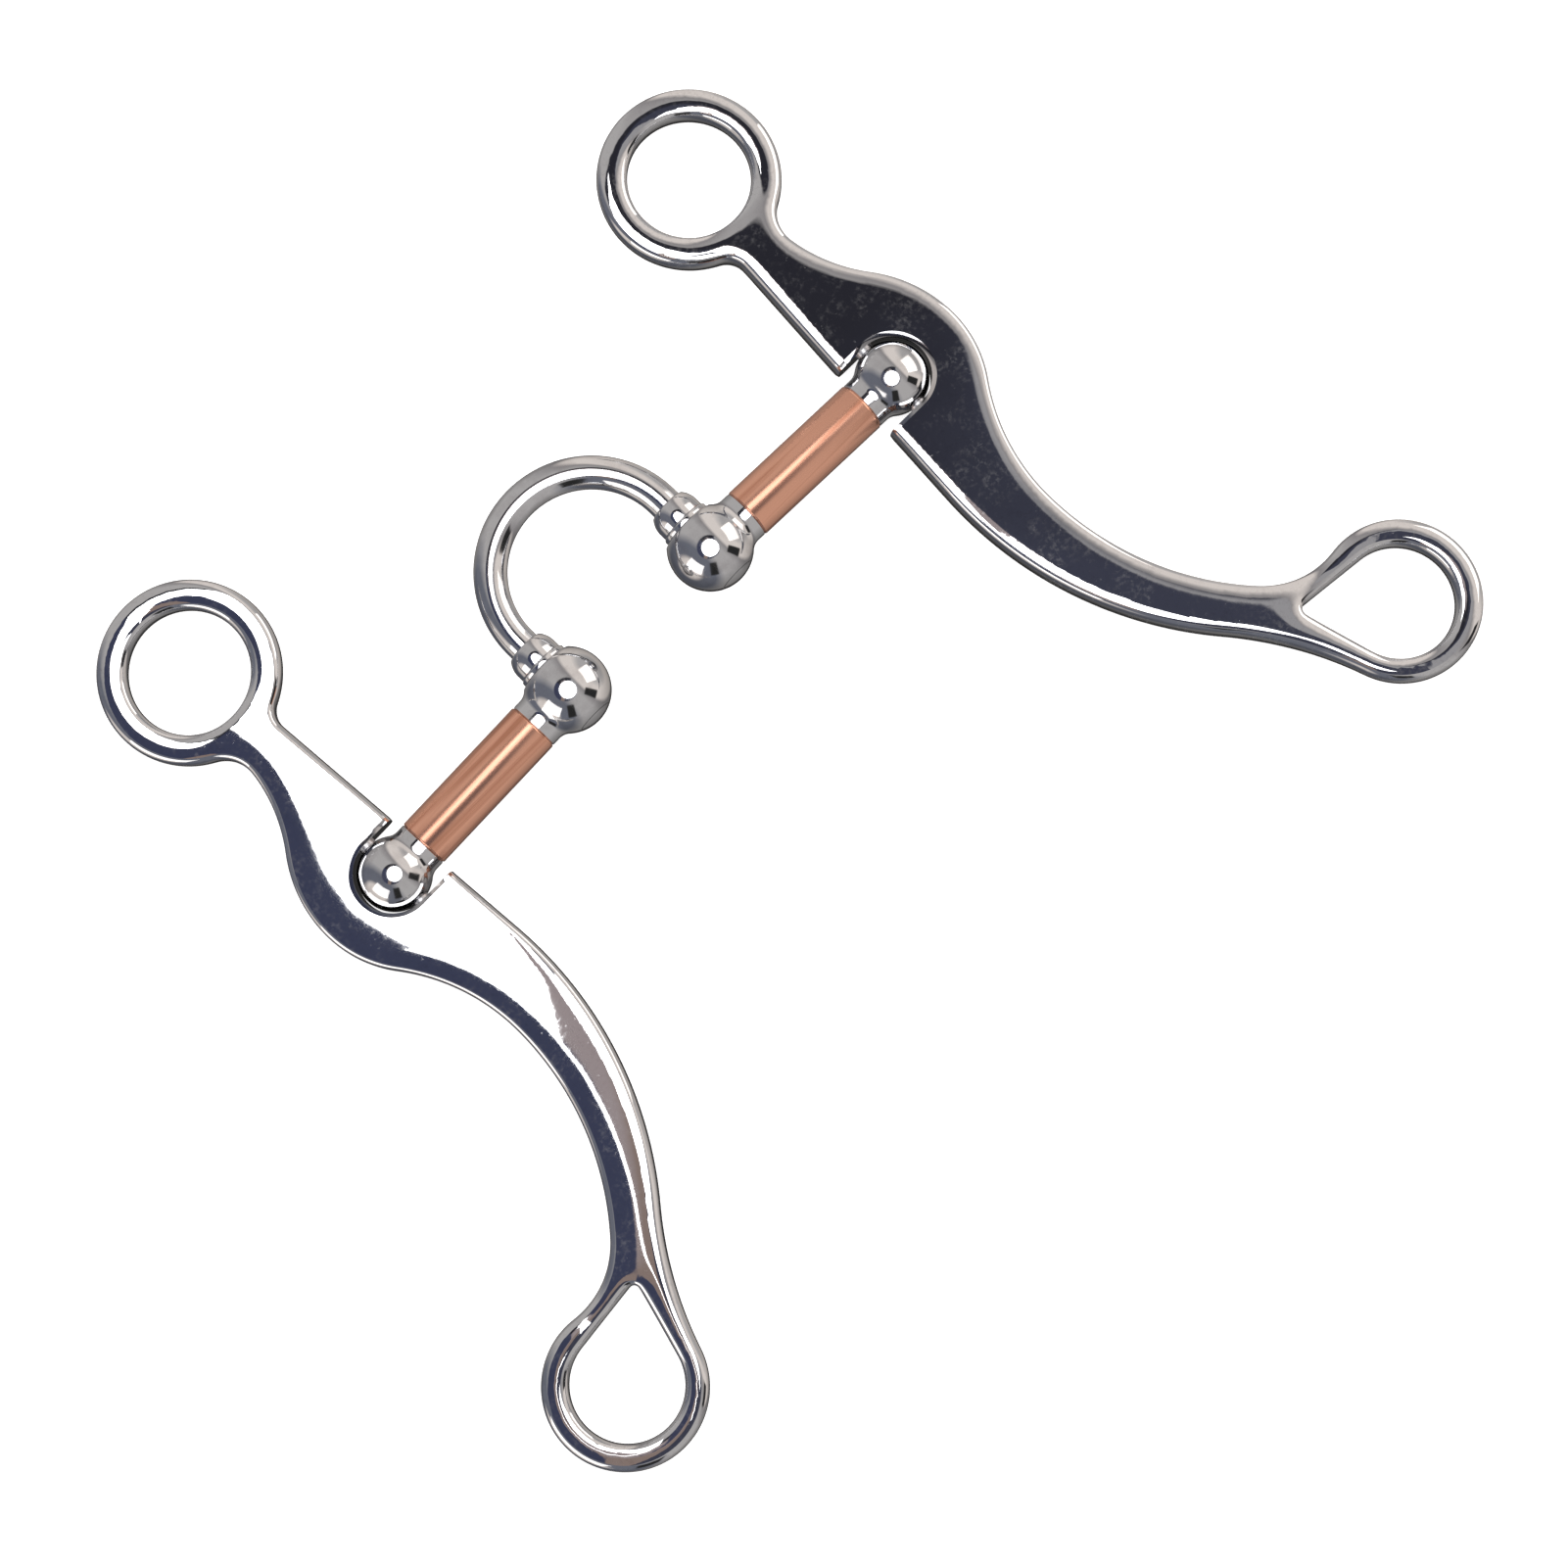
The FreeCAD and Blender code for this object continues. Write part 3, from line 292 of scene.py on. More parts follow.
def fade_out(first, last):
    """Stops from white to black."""
    return [(first, grey(1)), (last, grey(0))]


def new_finish(name, metallic=1.0):
    """A material with its shader: the material, its board and the shader's sockets."""
    material = bpy.data.materials.new(name)
    material.use_nodes = True
    shader = material.node_tree.nodes["Principled BSDF"].inputs
    shader["Metallic"].default_value = metallic
    return material, Board(material.node_tree), shader


OBJECT_PLACE = 3


def roughen(board, shader, height, distance, strength=1.0):
    """Bump the surface by a height."""
    inputs = {"Strength": strength, "Distance": distance, "Height": height}
    board.connect(board.node("ShaderNodeBump", None, inputs), shader["Normal"])


def polished_cheek_finish(board, shader, place, colours):
    """Hand-polished cast steel: a wavy mirror with fine pits, faint smudges and a thin film."""
    smudge = board.ramp(board.noise(place, 70, 4, 0.6), [(0.42, grey(0.25)), (0.66, grey(1))])
    pits = board.ramp(board.noise(place, 1150, 3, 0.6), fade(0.48, 0.72))
    specks = board.ramp(board.noise(place, 800, 4, 0.7), fade(0.64, 0.70))
    clouds = board.ramp(board.noise(place, 150, 5, 0.65), fade(0.46, 0.66))
    lines = board.noise(board.stretched(place, (2600, 110, 2600)), 1, 3)
    worn = pits * smudge
    film = clouds * pits * 0.13 + specks * 0.06
    board.connect(board.blend(worn, rgba(colours.steel), rgba(colours.steel_dull)), shader["Base Color"])
    board.connect(worn * 0.035 + specks * smudge * 0.16 + lines * 0.012 + 0.02, shader["Roughness"])
    board.connect(1 - film, shader["Metallic"])
    waves = board.noise(place, 55, 1.0)
    ripples = board.noise(place, 300, 2.0)
    roughen(board, shader, waves + ripples * 0.06 + lines * 0.004 + worn * 0.012, 0.04 * MM)


def polished_fitting_finish(board, shader, place, colours):
    """Turned and polished steel: rounder reflections, with faint lathe lines."""
    smear = board.ramp(board.noise(place, 260, 4, 0.6), fade(0.45, 0.75))
    lines = board.noise(board.stretched(place, (3500, 900, 900)), 1, 2)
    board.connect(board.blend(smear, rgba(colours.steel), rgba(colours.steel_dull)), shader["Base Color"])
    board.connect(smear * 0.10 + lines * 0.03 + 0.05, shader["Roughness"])
    roughen(board, shader, board.noise(place, 160, 1.5) + lines * 0.02, 0.02 * MM)


def drawn_copper_finish(board, shader, place, colours):
    """Copper tube with long draw lines, a few of them painted dark for the dark reflections along the tube.
    """
    draw = board.noise(board.stretched(place, (6, 480, 480)), 1, 2, 0.5)
    fine = board.noise(board.stretched(place, (18, 5200, 5200)), 1, 2)
    patch = board.noise(board.stretched(place, (60, 200, 200)), 1, 3)
    # Painted reflection: the dark streaks in the base colour stand for dark reflection bands along the tube.
    # The draw lines' bump and roughness are the copper's own.
    streaks = board.ramp(draw * 0.9 + patch * 0.1, fade(0.50, 0.66))
    dark = streaks * 0.75 + fine * 0.06
    board.connect(board.blend(dark, rgba(colours.copper), rgba(colours.copper_painted_reflection)), shader["Base Color"])
    board.connect(streaks * 0.06 + fine * 0.05 + 0.22, shader["Roughness"])
    roughen(board, shader, draw * 0.5 + fine * 0.015, 0.02 * MM)


def turned_core_finish(board, shader, place, colours):
    """Plain turned rod, brushed along its tool marks."""
    marks = board.noise(board.stretched(place, (900, 4200, 900)), 1, 3)
    tone = board.ramp(marks, [(0.3, rgba(colours.core)), (0.7, rgba(colours.steel_dull))])
    board.connect(tone, shader["Base Color"])
    board.connect(marks * 0.2 + 0.25, shader["Roughness"])
    roughen(board, shader, marks, 0.02 * MM, 0.6)


FINISHES = {
    "cheek": ("polished_cast_steel", polished_cheek_finish, "polished_stainless"),
    "fitting": ("polished_turned_steel", polished_fitting_finish, "polished_stainless"),
    "copper": ("drawn_copper", drawn_copper_finish, "copper"),
    "core": ("turned_core_steel", turned_core_finish, "core_steel"),
}
made_finishes = {}


def finish(name):
    """Each finish is made once and shared."""
    if name not in made_finishes:
        title, paint, _ = FINISHES[name]
        material, board, shader = new_finish(title)
        place = board.node("ShaderNodeTexCoord", None, None, OBJECT_PLACE)
        paint(board, shader, place, bpy.context.scene.curb_finish)
        made_finishes[name] = material
    return made_finishes[name]


# ---- pieces ----


CREASE = 35
CHEEK_CREASE = 28
SAME_PLACE = 1e-7


def dress(piece, finish_name):
    piece.data.materials.clear()
    piece.data.materials.append(finish(finish_name))


def settle(piece, body, nodes, finish_name):
    """Give a finished piece its material and its body, and hide the solids that it stands for."""
    dress(piece, finish_name)
    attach(piece, body)
    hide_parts(*nodes)


def smooth(mesh, crease):
    """Smooth faces, with crisp edges where they turn by more than the crease in degrees."""
    mesh.shade_smooth()
    mesh.set_sharp_from_angle(angle=math.radians(crease))


def weld(work, mesh, crease=CREASE):
    """Close a bmesh into a mesh."""
    bmesh.ops.remove_doubles(work, verts=work.verts, dist=SAME_PLACE)
    bmesh.ops.dissolve_degenerate(work, edges=work.edges, dist=SAME_PLACE / 10)
    bmesh.ops.recalc_face_normals(work, faces=work.faces)
    work.to_mesh(mesh)
    work.free()
    smooth(mesh, crease)


def piece_from(name, work, crease=CREASE):
    mesh = bpy.data.meshes.new(name)
    weld(work, mesh, crease)
    piece = bpy.data.objects.new(name, mesh)
    bpy.context.scene.collection.objects.link(piece)
    return piece


def apply_modifiers(piece):
    """Turn the piece and its modifiers into a plain mesh."""
    graph = bpy.context.evaluated_depsgraph_get()
    graph.update()
    mesh = bpy.data.meshes.new_from_object(piece.evaluated_get(graph))
    piece.modifiers.clear()
    old = piece.data
    piece.data = mesh
    bpy.data.meshes.remove(old)
    mesh.name = piece.name
    smooth(mesh, CREASE)


def add_face(work, corners):
    """Add a face without its repeated corners, if three or more are left."""
    corners = [v for j, v in enumerate(corners) if v not in corners[:j]]
    if len(corners) > 2:
        work.faces.new(corners)


def lathe(work, profile, foot, axis, steps):
    """Turn a profile of (along, radius) about an axis, closing it where the radius is zero."""
    axis = Vector(axis).normalized()
    across = axis.orthogonal().normalized()
    third = axis.cross(across)
    spokes = [across * math.cos(a) + third * math.sin(a) for a in np.linspace(0, 2 * math.pi, steps, False)]
    rings = []
    for along, radius in profile:
        centre = Vector(foot) + axis * along
        if radius == 0:
            rings.append([work.verts.new(centre)] * steps)
        else:
            rings.append([work.verts.new(centre + spoke * radius) for spoke in spokes])
    for near, far in zip(rings, rings[1:]):
        for i in range(steps):
            add_face(work, [near[i - 1], near[i], far[i], far[i - 1]])


def turned(name, profile, foot, axis, steps):
    """A piece turned from one profile."""
    work = bmesh.new()
    lathe(work, profile, foot, axis, steps)
    return piece_from(name, work)


def bow(centre, radius, first, last, count):
    """Points of an arc in a profile, from one angle in degrees to another."""
    angles = np.radians(np.linspace(first, last, count))
    return [(centre[0] + radius * math.cos(a), centre[1] + radius * math.sin(a)) for a in angles]


def closed(profile):
    """A ring's profile joined back to its first point."""
    return profile + profile[:1]


def tube(first, last, bore, radius, edge, steps):
    """A tube's profile, with the outside rounded at both ends."""
    head = bow((first + edge, radius - edge), edge, 180, 90, steps)
    tail = bow((last - edge, radius - edge), edge, 90, 0, steps)
    return closed([(first, bore)] + head + tail + [(last, bore)])


# ---- cheeks ----


def spoke(angle):
    """A unit step at an angle in radians; places on the cheek are complex numbers."""
    return cmath.rect(1, angle)


def facing(centre, radius, other):
    return centre + radius * (other - centre) / abs(other - centre)


def touch(first, second):
    """Where two tangent bends meet: on the larger one, facing the smaller."""
    narrow, wide = sorted((first, second), key=lambda bend: bend[1])
    return facing(wide[0], wide[1], narrow[0])


def crossing(first, first_radius, second, second_radius):
    """Where two circles cross, on the right of the line between their centres."""
    span = abs(second - first)
    along = (first_radius ** 2 - second_radius ** 2 + span ** 2) / (2 * span)
    off = math.sqrt(first_radius ** 2 - along ** 2)
    return first + (second - first) / span * complex(along, -off)


def upright_radius(place, bend, bend_radius):
    """Radius of the arc that is upright at a place and runs into a bend."""
    across = (bend - place).real
    rise = (bend - place).imag
    return (across ** 2 + rise ** 2 - bend_radius ** 2) / (2 * (across + bend_radius))


def cheek_bends(s):
    """The tangent bends round the cheek, clockwise from the straight edge's top to its foot.

    Each is a centre, a radius, its two ends and whether it is hollow.
    """
    bridle = complex(s.bridle_offset, s.bridle_height)
    rein = complex(s.rein_reach, -s.rein_drop)
    crest = complex(s.hump_reach, s.hump_height)
    waist = complex(s.waist_reach, -s.waist_drop)
    upper = crest - s.hump_upper
    lower = crest - s.hump_lower
    purchase = complex(s.purchase_reach, s.purchase_height)
    neck_radius = upright_radius(purchase, upper, s.hump_upper)
    neck = purchase + neck_radius
    shoulder = crossing(bridle, s.bridle_radius + s.outer_blend, neck, neck_radius - s.outer_blend)
    hollow_radius = upright_radius(waist, lower, s.hump_lower)
    hollow = waist + hollow_radius
    throat = rein + (s.rein_radius + s.throat_radius) * spoke(math.pi / 2 + s.throat_bearing)
    sweep_radius = upright_radius(waist, throat, -s.throat_radius)
    sweep = waist + sweep_radius
    heel = rein + (s.rein_radius + s.heel_radius) * spoke(math.pi + s.heel_bearing)
    fullest = complex(-s.back_reach, -s.back_drop)
    back_radius = upright_radius(fullest, heel, s.heel_radius)
    back = fullest + back_radius

    outward = spoke(math.pi - s.back_lean)
    upward = spoke(math.pi / 2 - s.back_lean)
    edge_foot = back + back_radius * outward
    base = edge_foot + s.inner_blend * outward - bridle
    along = (base * upward.conjugate()).real
    gap = abs(base) ** 2 - (s.bridle_radius + s.inner_blend) ** 2
    edge_top = edge_foot + (-along - math.sqrt(along ** 2 - gap)) * upward
    crook = edge_top + s.inner_blend * outward

    bends = [
        (crook, s.inner_blend, True),
        (bridle, s.bridle_radius, False),
        (shoulder, s.outer_blend, True),
        (neck, neck_radius, True),
        (upper, s.hump_upper, False),
        (lower, s.hump_lower, False),
        (hollow, hollow_radius, True),
        (sweep, sweep_radius, True),
        (throat, s.throat_radius, True),
        (rein, s.rein_radius, False),
        (heel, s.heel_radius, True),
        (back, back_radius, False),
    ]
    ends = [edge_top, *map(touch, bends, bends[1:]), edge_foot]
    return [(*bend[:2], first, last, bend[2]) for bend, first, last in zip(bends, ends, ends[1:])]


PACE = 0.8 * MM
CLEARANCE = 0.62 * PACE
MOST_TURN = math.radians(5)
BAND = 1.5 * MM
BAND_ROWS = 10
CHUNK = 64
BEVEL_ROUNDING = 0.3
SWELL_STEPS = 6000
SWELL_TOLERANCE = 1e-14


def trace_bend(centre, radius, start, end, hollow):
    """Places round a bend without its end, and the way into the metal at each."""
    if hollow:
        turn = cmath.phase((end - centre) / (start - centre)) % (2 * math.pi)
    else:
        turn = -(cmath.phase((start - centre) / (end - centre)) % (2 * math.pi))
    steps = math.ceil(max(abs(turn) * radius / PACE, abs(turn) / MOST_TURN, 2))
    spokes = (start - centre) / radius * np.exp(1j * np.linspace(0, turn, steps, endpoint=False))
    return centre + radius * spokes, spokes if hollow else -spokes


def trace_line(start, end, inward):
    """Places along a straight edge without its end, and the way into the metal."""
    steps = math.ceil(abs(end - start) / PACE)
    places = start + (end - start) * np.linspace(0, 1, steps, endpoint=False)
    return places, np.full(steps, inward)


def joined(runs):
    return np.concatenate([run[0] for run in runs]), np.concatenate([run[1] for run in runs])


def cheek_outline(s):
    """The cheek's edge from the notch's upper lip right round to its lower lip."""
    bends = cheek_bends(s)
    edge_top = bends[0][2]
    edge_foot = bends[-1][3]
    inward = spoke(-s.back_lean)
    lean = math.tan(s.back_lean)
    lip = s.notch_radius + s.notch_edge
    lips = [complex(edge_foot.real + (y - edge_foot.imag) * lean, y) for y in (lip, -lip)]
    runs = [trace_line(lips[0], edge_top, inward)]
    runs += [trace_bend(*bend) for bend in bends]
    runs.append(trace_line(edge_foot, lips[1], inward))
    runs.append((np.array([lips[1]]), np.array([inward])))
    return joined(runs)


def teardrop_edge(s):
    """The rein ring's hole: a round part drawn out to a point by two straights."""
    centre = complex(s.rein_reach - s.rein_hole_offset, -s.rein_drop)
    tip = centre + complex(-s.teardrop_reach, s.teardrop_rise)
    half_angle = math.asin(s.rein_hole / abs(tip - centre))
    way = (tip - centre) / abs(tip - centre)
    nose = tip - way * s.teardrop_tip / math.sin(half_angle)
    first = way * spoke(math.pi / 2 - half_angle)
    second = way * spoke(half_angle - math.pi / 2)
    return joined([
        trace_bend(centre, s.rein_hole, centre + s.rein_hole * first, centre + s.rein_hole * second, True),
        trace_line(centre + s.rein_hole * second, nose + s.teardrop_tip * second, second),
        trace_bend(nose, s.teardrop_tip, nose + s.teardrop_tip * second, nose + s.teardrop_tip * first, True),
        trace_line(nose + s.teardrop_tip * first, centre + s.rein_hole * first, first),
    ])


def bridle_edge(s):
    centre = complex(s.bridle_offset, s.bridle_height)
    steps = math.ceil(2 * math.pi * s.bridle_hole / PACE)
    spokes = np.exp(1j * np.linspace(0, 2 * math.pi, steps, endpoint=False))
    return centre + s.bridle_hole * spokes, spokes


def notch_run(s, start, end):
    """The top of the notch's bevel between the two lips' inner ends."""
    radius = s.notch_radius + s.notch_edge
    roof = trace_line(start, complex(0, radius), 0)[0][1:]
    bend = trace_bend(0, radius, complex(0, radius), complex(0, -radius), False)[0]
    floor = trace_line(complex(0, -radius), end, 0)[0]
    return np.concatenate([roof, bend, floor])


def inside(places, loop):
    """Which places lie inside a closed loop."""
    ends = np.roll(loop, -1)
    result = np.zeros(len(places), bool)
    for a, b in zip(loop, ends):
        if a.imag == b.imag:
            continue
        spans = (a.imag > places.imag) != (b.imag > places.imag)
        cut = a.real + (places.imag - a.imag) * (b.real - a.real) / (b.imag - a.imag)
        result ^= spans & (places.real < cut)
    return result


def band_rows(places, inward):
    """Rows of places that step in from an edge, close together where the face is steep."""
    steps = BAND * (np.arange(BAND_ROWS + 1) / BAND_ROWS) ** 2
    return places[None, :] + inward[None, :] * steps[:, None]


def clear_points(loops):
    """A honeycomb of places inside the first loop, clear of all of them."""
    outer = loops[0]
    xs = np.arange(outer.real.min(), outer.real.max(), PACE)
    ys = np.arange(outer.imag.min(), outer.imag.max(), PACE * math.sqrt(0.75))
    grid = xs[None, :] + 1j * ys[:, None]
    grid[1::2] += PACE / 2
    grid = grid.ravel()
    keep = inside(grid, outer)
    for hole in loops[1:]:
        keep &= ~inside(grid, hole)
    grid = grid[keep]
    for loop in loops:
        for start in range(0, len(loop), CHUNK):
            part = loop[start:start + CHUNK]
            near = np.abs(grid[:, None] - part[None, :]).min(axis=1)
            grid = grid[near > CLEARANCE]
    return grid


def cheek_plan(s):
    """The cheek's flat plan: places, triangles, the places on the edge, and the notch's chain."""
    places, triangles, edge = [], [], []

    def add(values):
        first = len(places)
        places.extend(values)
        return np.arange(first, first + len(values))

    def add_band(rows, ring):
        numbers = np.array([add(row) for row in rows])
        edge.extend(numbers[0])
        wrap = np.roll(numbers, -1, axis=1) if ring else numbers[:, 1:]
        base = numbers if ring else numbers[:, :-1]
        a, b = base[:-1].ravel(), wrap[:-1].ravel()
        c, d = wrap[1:].ravel(), base[1:].ravel()
        triangles.extend(zip(a, b, c))
        triangles.extend(zip(a, c, d))
        return numbers

    rows = band_rows(*cheek_outline(s))
    lip = s.notch_radius + s.notch_edge
    rows[:, 0] = rows[:, 0].real + 1j * lip
    rows[:, -1] = rows[:, -1].real - 1j * lip
    outline = add_band(rows, False)
    run = add(notch_run(s, rows[-1, 0], rows[-1, -1]))
    notch = np.concatenate([outline[:, 0], run, outline[::-1, -1]])
    holes = [add_band(band_rows(*hole(s)), True) for hole in (bridle_edge, teardrop_edge)]

    chains = [np.concatenate([outline[-1], run[::-1]]), holes[0][-1], holes[1][-1]]
    loops = [np.array(places)[chain] for chain in chains]
    fill = add(clear_points(loops))
    used = np.concatenate(chains + [fill])
    order = {number: i for i, number in enumerate(used)}
    ties = [(order[a], order[b]) for chain in chains for a, b in zip(chain, np.roll(chain, -1))]
    spots = np.array(places)[used]
    scale = 1 / MM
    result = delaunay_2d_cdt([Vector((p.real * scale, p.imag * scale)) for p in spots], ties, [], 0, 1e-6)
    origin = [source[0] for source in result[3]]
    faces = np.array([[used[origin[v]] for v in face] for face in result[2]])
    middle = np.array(places)[faces].mean(axis=1)
    keep = inside(middle, loops[0]) & ~inside(middle, loops[1]) & ~inside(middle, loops[2])
    triangles.extend(map(tuple, faces[keep]))
    return np.array(places), np.array(triangles), np.array(sorted(set(edge))), notch


def swell(places, triangles, edge):
    """Height of a skin blown up over the plan and held down at its edge, before it is shaped."""
    corner = places[triangles] / MM
    along = np.roll(corner, -2, axis=1) - np.roll(corner, -1, axis=1)
    area = np.abs((along[:, 0].conjugate() * along[:, 1]).imag) / 2
    stiff = (along[:, :, None].conjugate() * along[:, None, :]).real / (4 * area)[:, None, None]
    count = len(places)
    free = np.ones(count, bool)
    free[edge] = False

    def gather(values):
        return np.bincount(triangles.ravel(), values.ravel(), count) * free

    load = gather(np.repeat(2 * area[:, None] / 3, 3, axis=1))
    weight = gather(np.einsum("tii->ti", stiff))
    weight[~free] = 1
    height = np.zeros(count)
    rest = load.copy()
    push = rest / weight
    way = push.copy()
    energy = rest @ push
    for _ in range(SWELL_STEPS):
        drag = gather(np.einsum("tij,tj->ti", stiff, way[triangles]))
        step = energy / (way @ drag)
        height += step * way
        rest -= step * drag
        push = rest / weight
        fresh = rest @ push
        if fresh < SWELL_TOLERANCE * (load @ (load / weight)):
            break
        way = push + fresh / energy * way
        energy = fresh
    return np.sqrt(np.maximum(height, 0)) * MM


def face_height(rise, s):
    """A flat crown with rounded edges from the swelling's height."""
    half = s.thickness / 2
    steep = rise * (1 + s.fullness) / half
    crown = steep / (1 + steep ** s.flatness) ** (1 / s.flatness)
    return half * crown / crown.max()


def make_cheek(name, side, s):
    """Both faces, the notch's bevels and its wall, laid in place at the hinge pin."""
    places, triangles, edge, notch = cheek_plan(s)
    height = face_height(swell(places, triangles, edge), s)
    pin = Vector(JOINTS[f"{name.split('_')[0]}_shank_hinge"]["pos_m"])

    def lay(place, z):
        x = place.real * math.cos(s.droop) + z * math.sin(s.droop)
        down = -place.real * math.sin(s.droop) + z * math.cos(s.droop)
        return pin + Vector((side * x, place.imag, down))

    work = bmesh.new()
    top = [work.verts.new(lay(p, z)) for p, z in zip(places, height)]
    on_edge = set(edge.tolist())
    under = [v if i in on_edge else work.verts.new(lay(places[i], -height[i])) for i, v in enumerate(top)]
    for a, b, c in triangles:
        work.faces.new((top[a], top[b], top[c]))
        work.faces.new((under[c], under[b], under[a]))

    scale = s.notch_radius / (s.notch_radius + s.notch_edge)
    walls = []
    for number in notch:
        place = places[number]
        inner = place * scale if place.real > 0 else complex(place.real, place.imag * scale)
        z = height[number] * (1 - s.notch_edge / (height[number] + BEVEL_ROUNDING * s.notch_edge))
        if number in on_edge:
            shared = work.verts.new(lay(inner, 0))
            walls.append((shared, shared))
        else:
            walls.append((work.verts.new(lay(inner, z)), work.verts.new(lay(inner, -z))))
    for i in range(len(notch) - 1):
        a, b = notch[i], notch[i + 1]
        high, low = walls[i], walls[i + 1]
        for corners in (
            (top[a], top[b], low[0], high[0]),
            (under[a], under[b], low[1], high[1]),
            (high[0], low[0], low[1], high[1]),
        ):
            add_face(work, corners)
    return piece_from(name, work, CHEEK_CREASE)


class CURB_OT_cheeks(bpy.types.Operator):
    """Both cheeks, with their rounded edges, rings and notches"""

    bl_idname = "curb.cheeks"
    bl_label = "Cheeks"

    def execute(self, context):
        for word, side in SIDES:
            cheek = make_cheek(f"{word}_cheek_casting", side, context.scene.curb_cheek)
            settle(cheek, f"{word}_cheek", [f"{word}_shank", f"{word}_pin_plug"], "cheek")
        return {"FINISHED"}


# ---- balls ----


EASE = 0.25 * MM
ROUND_STEPS = 144
BORE_STEPS = 96
PIN_STEPS = 64


def ball_profile(ball, neck_end, socket, s):
    """Half section of a ball, its neck and the socket for the core, from the far pole."""
    reach = math.sqrt((ball + s.neck_blend) ** 2 - (s.neck + s.neck_blend) ** 2)
    turn = math.degrees(math.atan2(s.neck + s.neck_blend, reach))
    shell = [(-ball, 0.0)] + bow((0, 0), ball, 180, turn, 72)[1:]
    blend = bow((reach, s.neck + s.neck_blend), s.neck_blend, 180 + turn, 270, 14)[1:]
    rim = [(neck_end - EASE, s.neck), (neck_end, s.neck - EASE), (neck_end, s.core), (socket, s.core)]
    return shell + blend + rim + [(socket, 0.0)]


def cut(piece, cutter):
    """Cut one piece out of another and keep the plain mesh."""
    modifier = piece.modifiers.new("cut", "BOOLEAN")
    modifier.operation = "DIFFERENCE"
    modifier.solver = "EXACT"
    modifier.object = cutter
    apply_modifiers(piece)
    bpy.data.objects.remove(cutter)


def ball_ends(word):
    """Centres of the inner and outer ball, and the way from the first to the second."""
    inner = Vector(JOINTS[f"{word}_cannon_swivel"]["pos_m"])
    outer = Vector(JOINTS[f"{word}_shank_hinge"]["pos_m"])
    return inner, outer, (outer - inner).normalized()


def head_foot(radius, ball):
    """How far below the ball's centre its skin has a radius."""
    return math.sqrt(ball ** 2 - radius ** 2)


def port_ball_cutter(ball, port, seat):
    """The tenon's bore with its seat below, and all above the washer's flat."""
    wide = 2 * ball
    head = port.head + port.head_gap
    mouth = head_foot(head, ball)
    cone_top = mouth - head + port.tenon
    return [
        (-wide, 0.0),
        (-wide, head + wide - mouth),
        (-cone_top, port.tenon_bore),
        (seat, port.tenon_bore),
        (seat, wide),
        (wide, wide),
        (wide, 0.0),
    ]


class CURB_OT_balls(bpy.types.Operator):
    """The four balls with their necks, bored for the port's tenons and the hinge pins"""

    bl_idname = "curb.balls"
    bl_label = "Balls"

    def execute(self, context):
        s = context.scene.curb_ball
        reach = 2 * s.hinge_ball
        pin = [(-reach, 0.0), (-reach, s.pin_bore), (reach, s.pin_bore), (reach, 0.0)]
        seat = port_ball_cutter(s.port_ball, context.scene.curb_port, s.seat_height)
        for word, _ in SIDES:
            inner, outer, way = ball_ends(word)
            for part, centre, aim, profile, cutter, steps in (
                ("port_ball", inner, way, (s.port_ball, s.port_neck_end, s.port_socket), seat, BORE_STEPS),
                ("hinge_ball", outer, -way, (s.hinge_ball, s.hinge_neck_end, s.hinge_socket), pin, PIN_STEPS),
            ):
                ball = turned(f"{word}_{part}_turned", ball_profile(*profile, s), centre, aim, ROUND_STEPS)
                cut(ball, turned("cutter", cutter, centre, ALONG, steps))
                settle(ball, f"{word}_cannon", [f"{word}_{part}"], "fitting")
        return {"FINISHED"}


# ---- port ----


BAR_STEPS = 420
BAR_ROUND_STEPS = 72
COLLAR_STEPS = 112
WASHER_EDGE = 0.35 * MM


def bar_tree():
    """Node tree: a round bar along two legs and the half circle between them."""
    tree = bpy.data.node_groups.new("port_bar_path", "GeometryNodeTree")
    kinds = {"Bar Radius": "Float", "Half Spacing": "Float", "Rise": "Float", "Leg Foot": "Float"}
    kinds |= {"Place": "Vector", "Finish": "Material"}
    for name, kind in kinds.items():
        tree.interface.new_socket(name, in_out="INPUT", socket_type="NodeSocket" + kind)
    tree.interface.new_socket("Geometry", in_out="OUTPUT", socket_type="NodeSocketGeometry")
    board = Board(tree)
    bar, half, rise, foot, place, metal, _ = board.node("NodeGroupInput").siblings()

    leg = rise - foot
    bend = half * math.pi
    path = board.node("GeometryNodeCurvePrimitiveLine")
    path = board.node("GeometryNodeResampleCurve", None, {"Curve": path, "Count": BAR_STEPS})
    travel = board.node("GeometryNodeSplineParameter") * (leg * 2.0 + bend)
    angle = ((travel - leg) / half).at_least(0.0).at_most(math.pi)
    across = half * board.maths("COSINE", angle)
    arch = half * board.maths("SINE", angle)
    first_leg = (leg - travel).at_least(0.0)
    last_leg = (travel - leg - bend).at_least(0.0)
    height = rise + arch - first_leg - last_leg
    spot = board.node("ShaderNodeCombineXYZ", None, {"X": across, "Y": height})
    spot = board.node("ShaderNodeVectorMath", {"operation": "ADD"}, {0: spot, 1: place})
    path = board.node("GeometryNodeSetPosition", None, {"Geometry": path, "Position": spot})
    size = {"Resolution": BAR_ROUND_STEPS, "Radius": bar}
    section = board.node("GeometryNodeCurvePrimitiveCircle", None, size)
    sweep = {"Curve": path, "Profile Curve": section, "Fill Caps": True}
    mesh = board.node("GeometryNodeCurveToMesh", None, sweep)
    mesh = board.node("GeometryNodeRealizeInstances", None, {"Geometry": mesh})
    mesh = board.node("GeometryNodeSetMaterial", None, {"Geometry": mesh, "Material": metal})
    board.node("NodeGroupOutput", None, {0: mesh})
    return tree


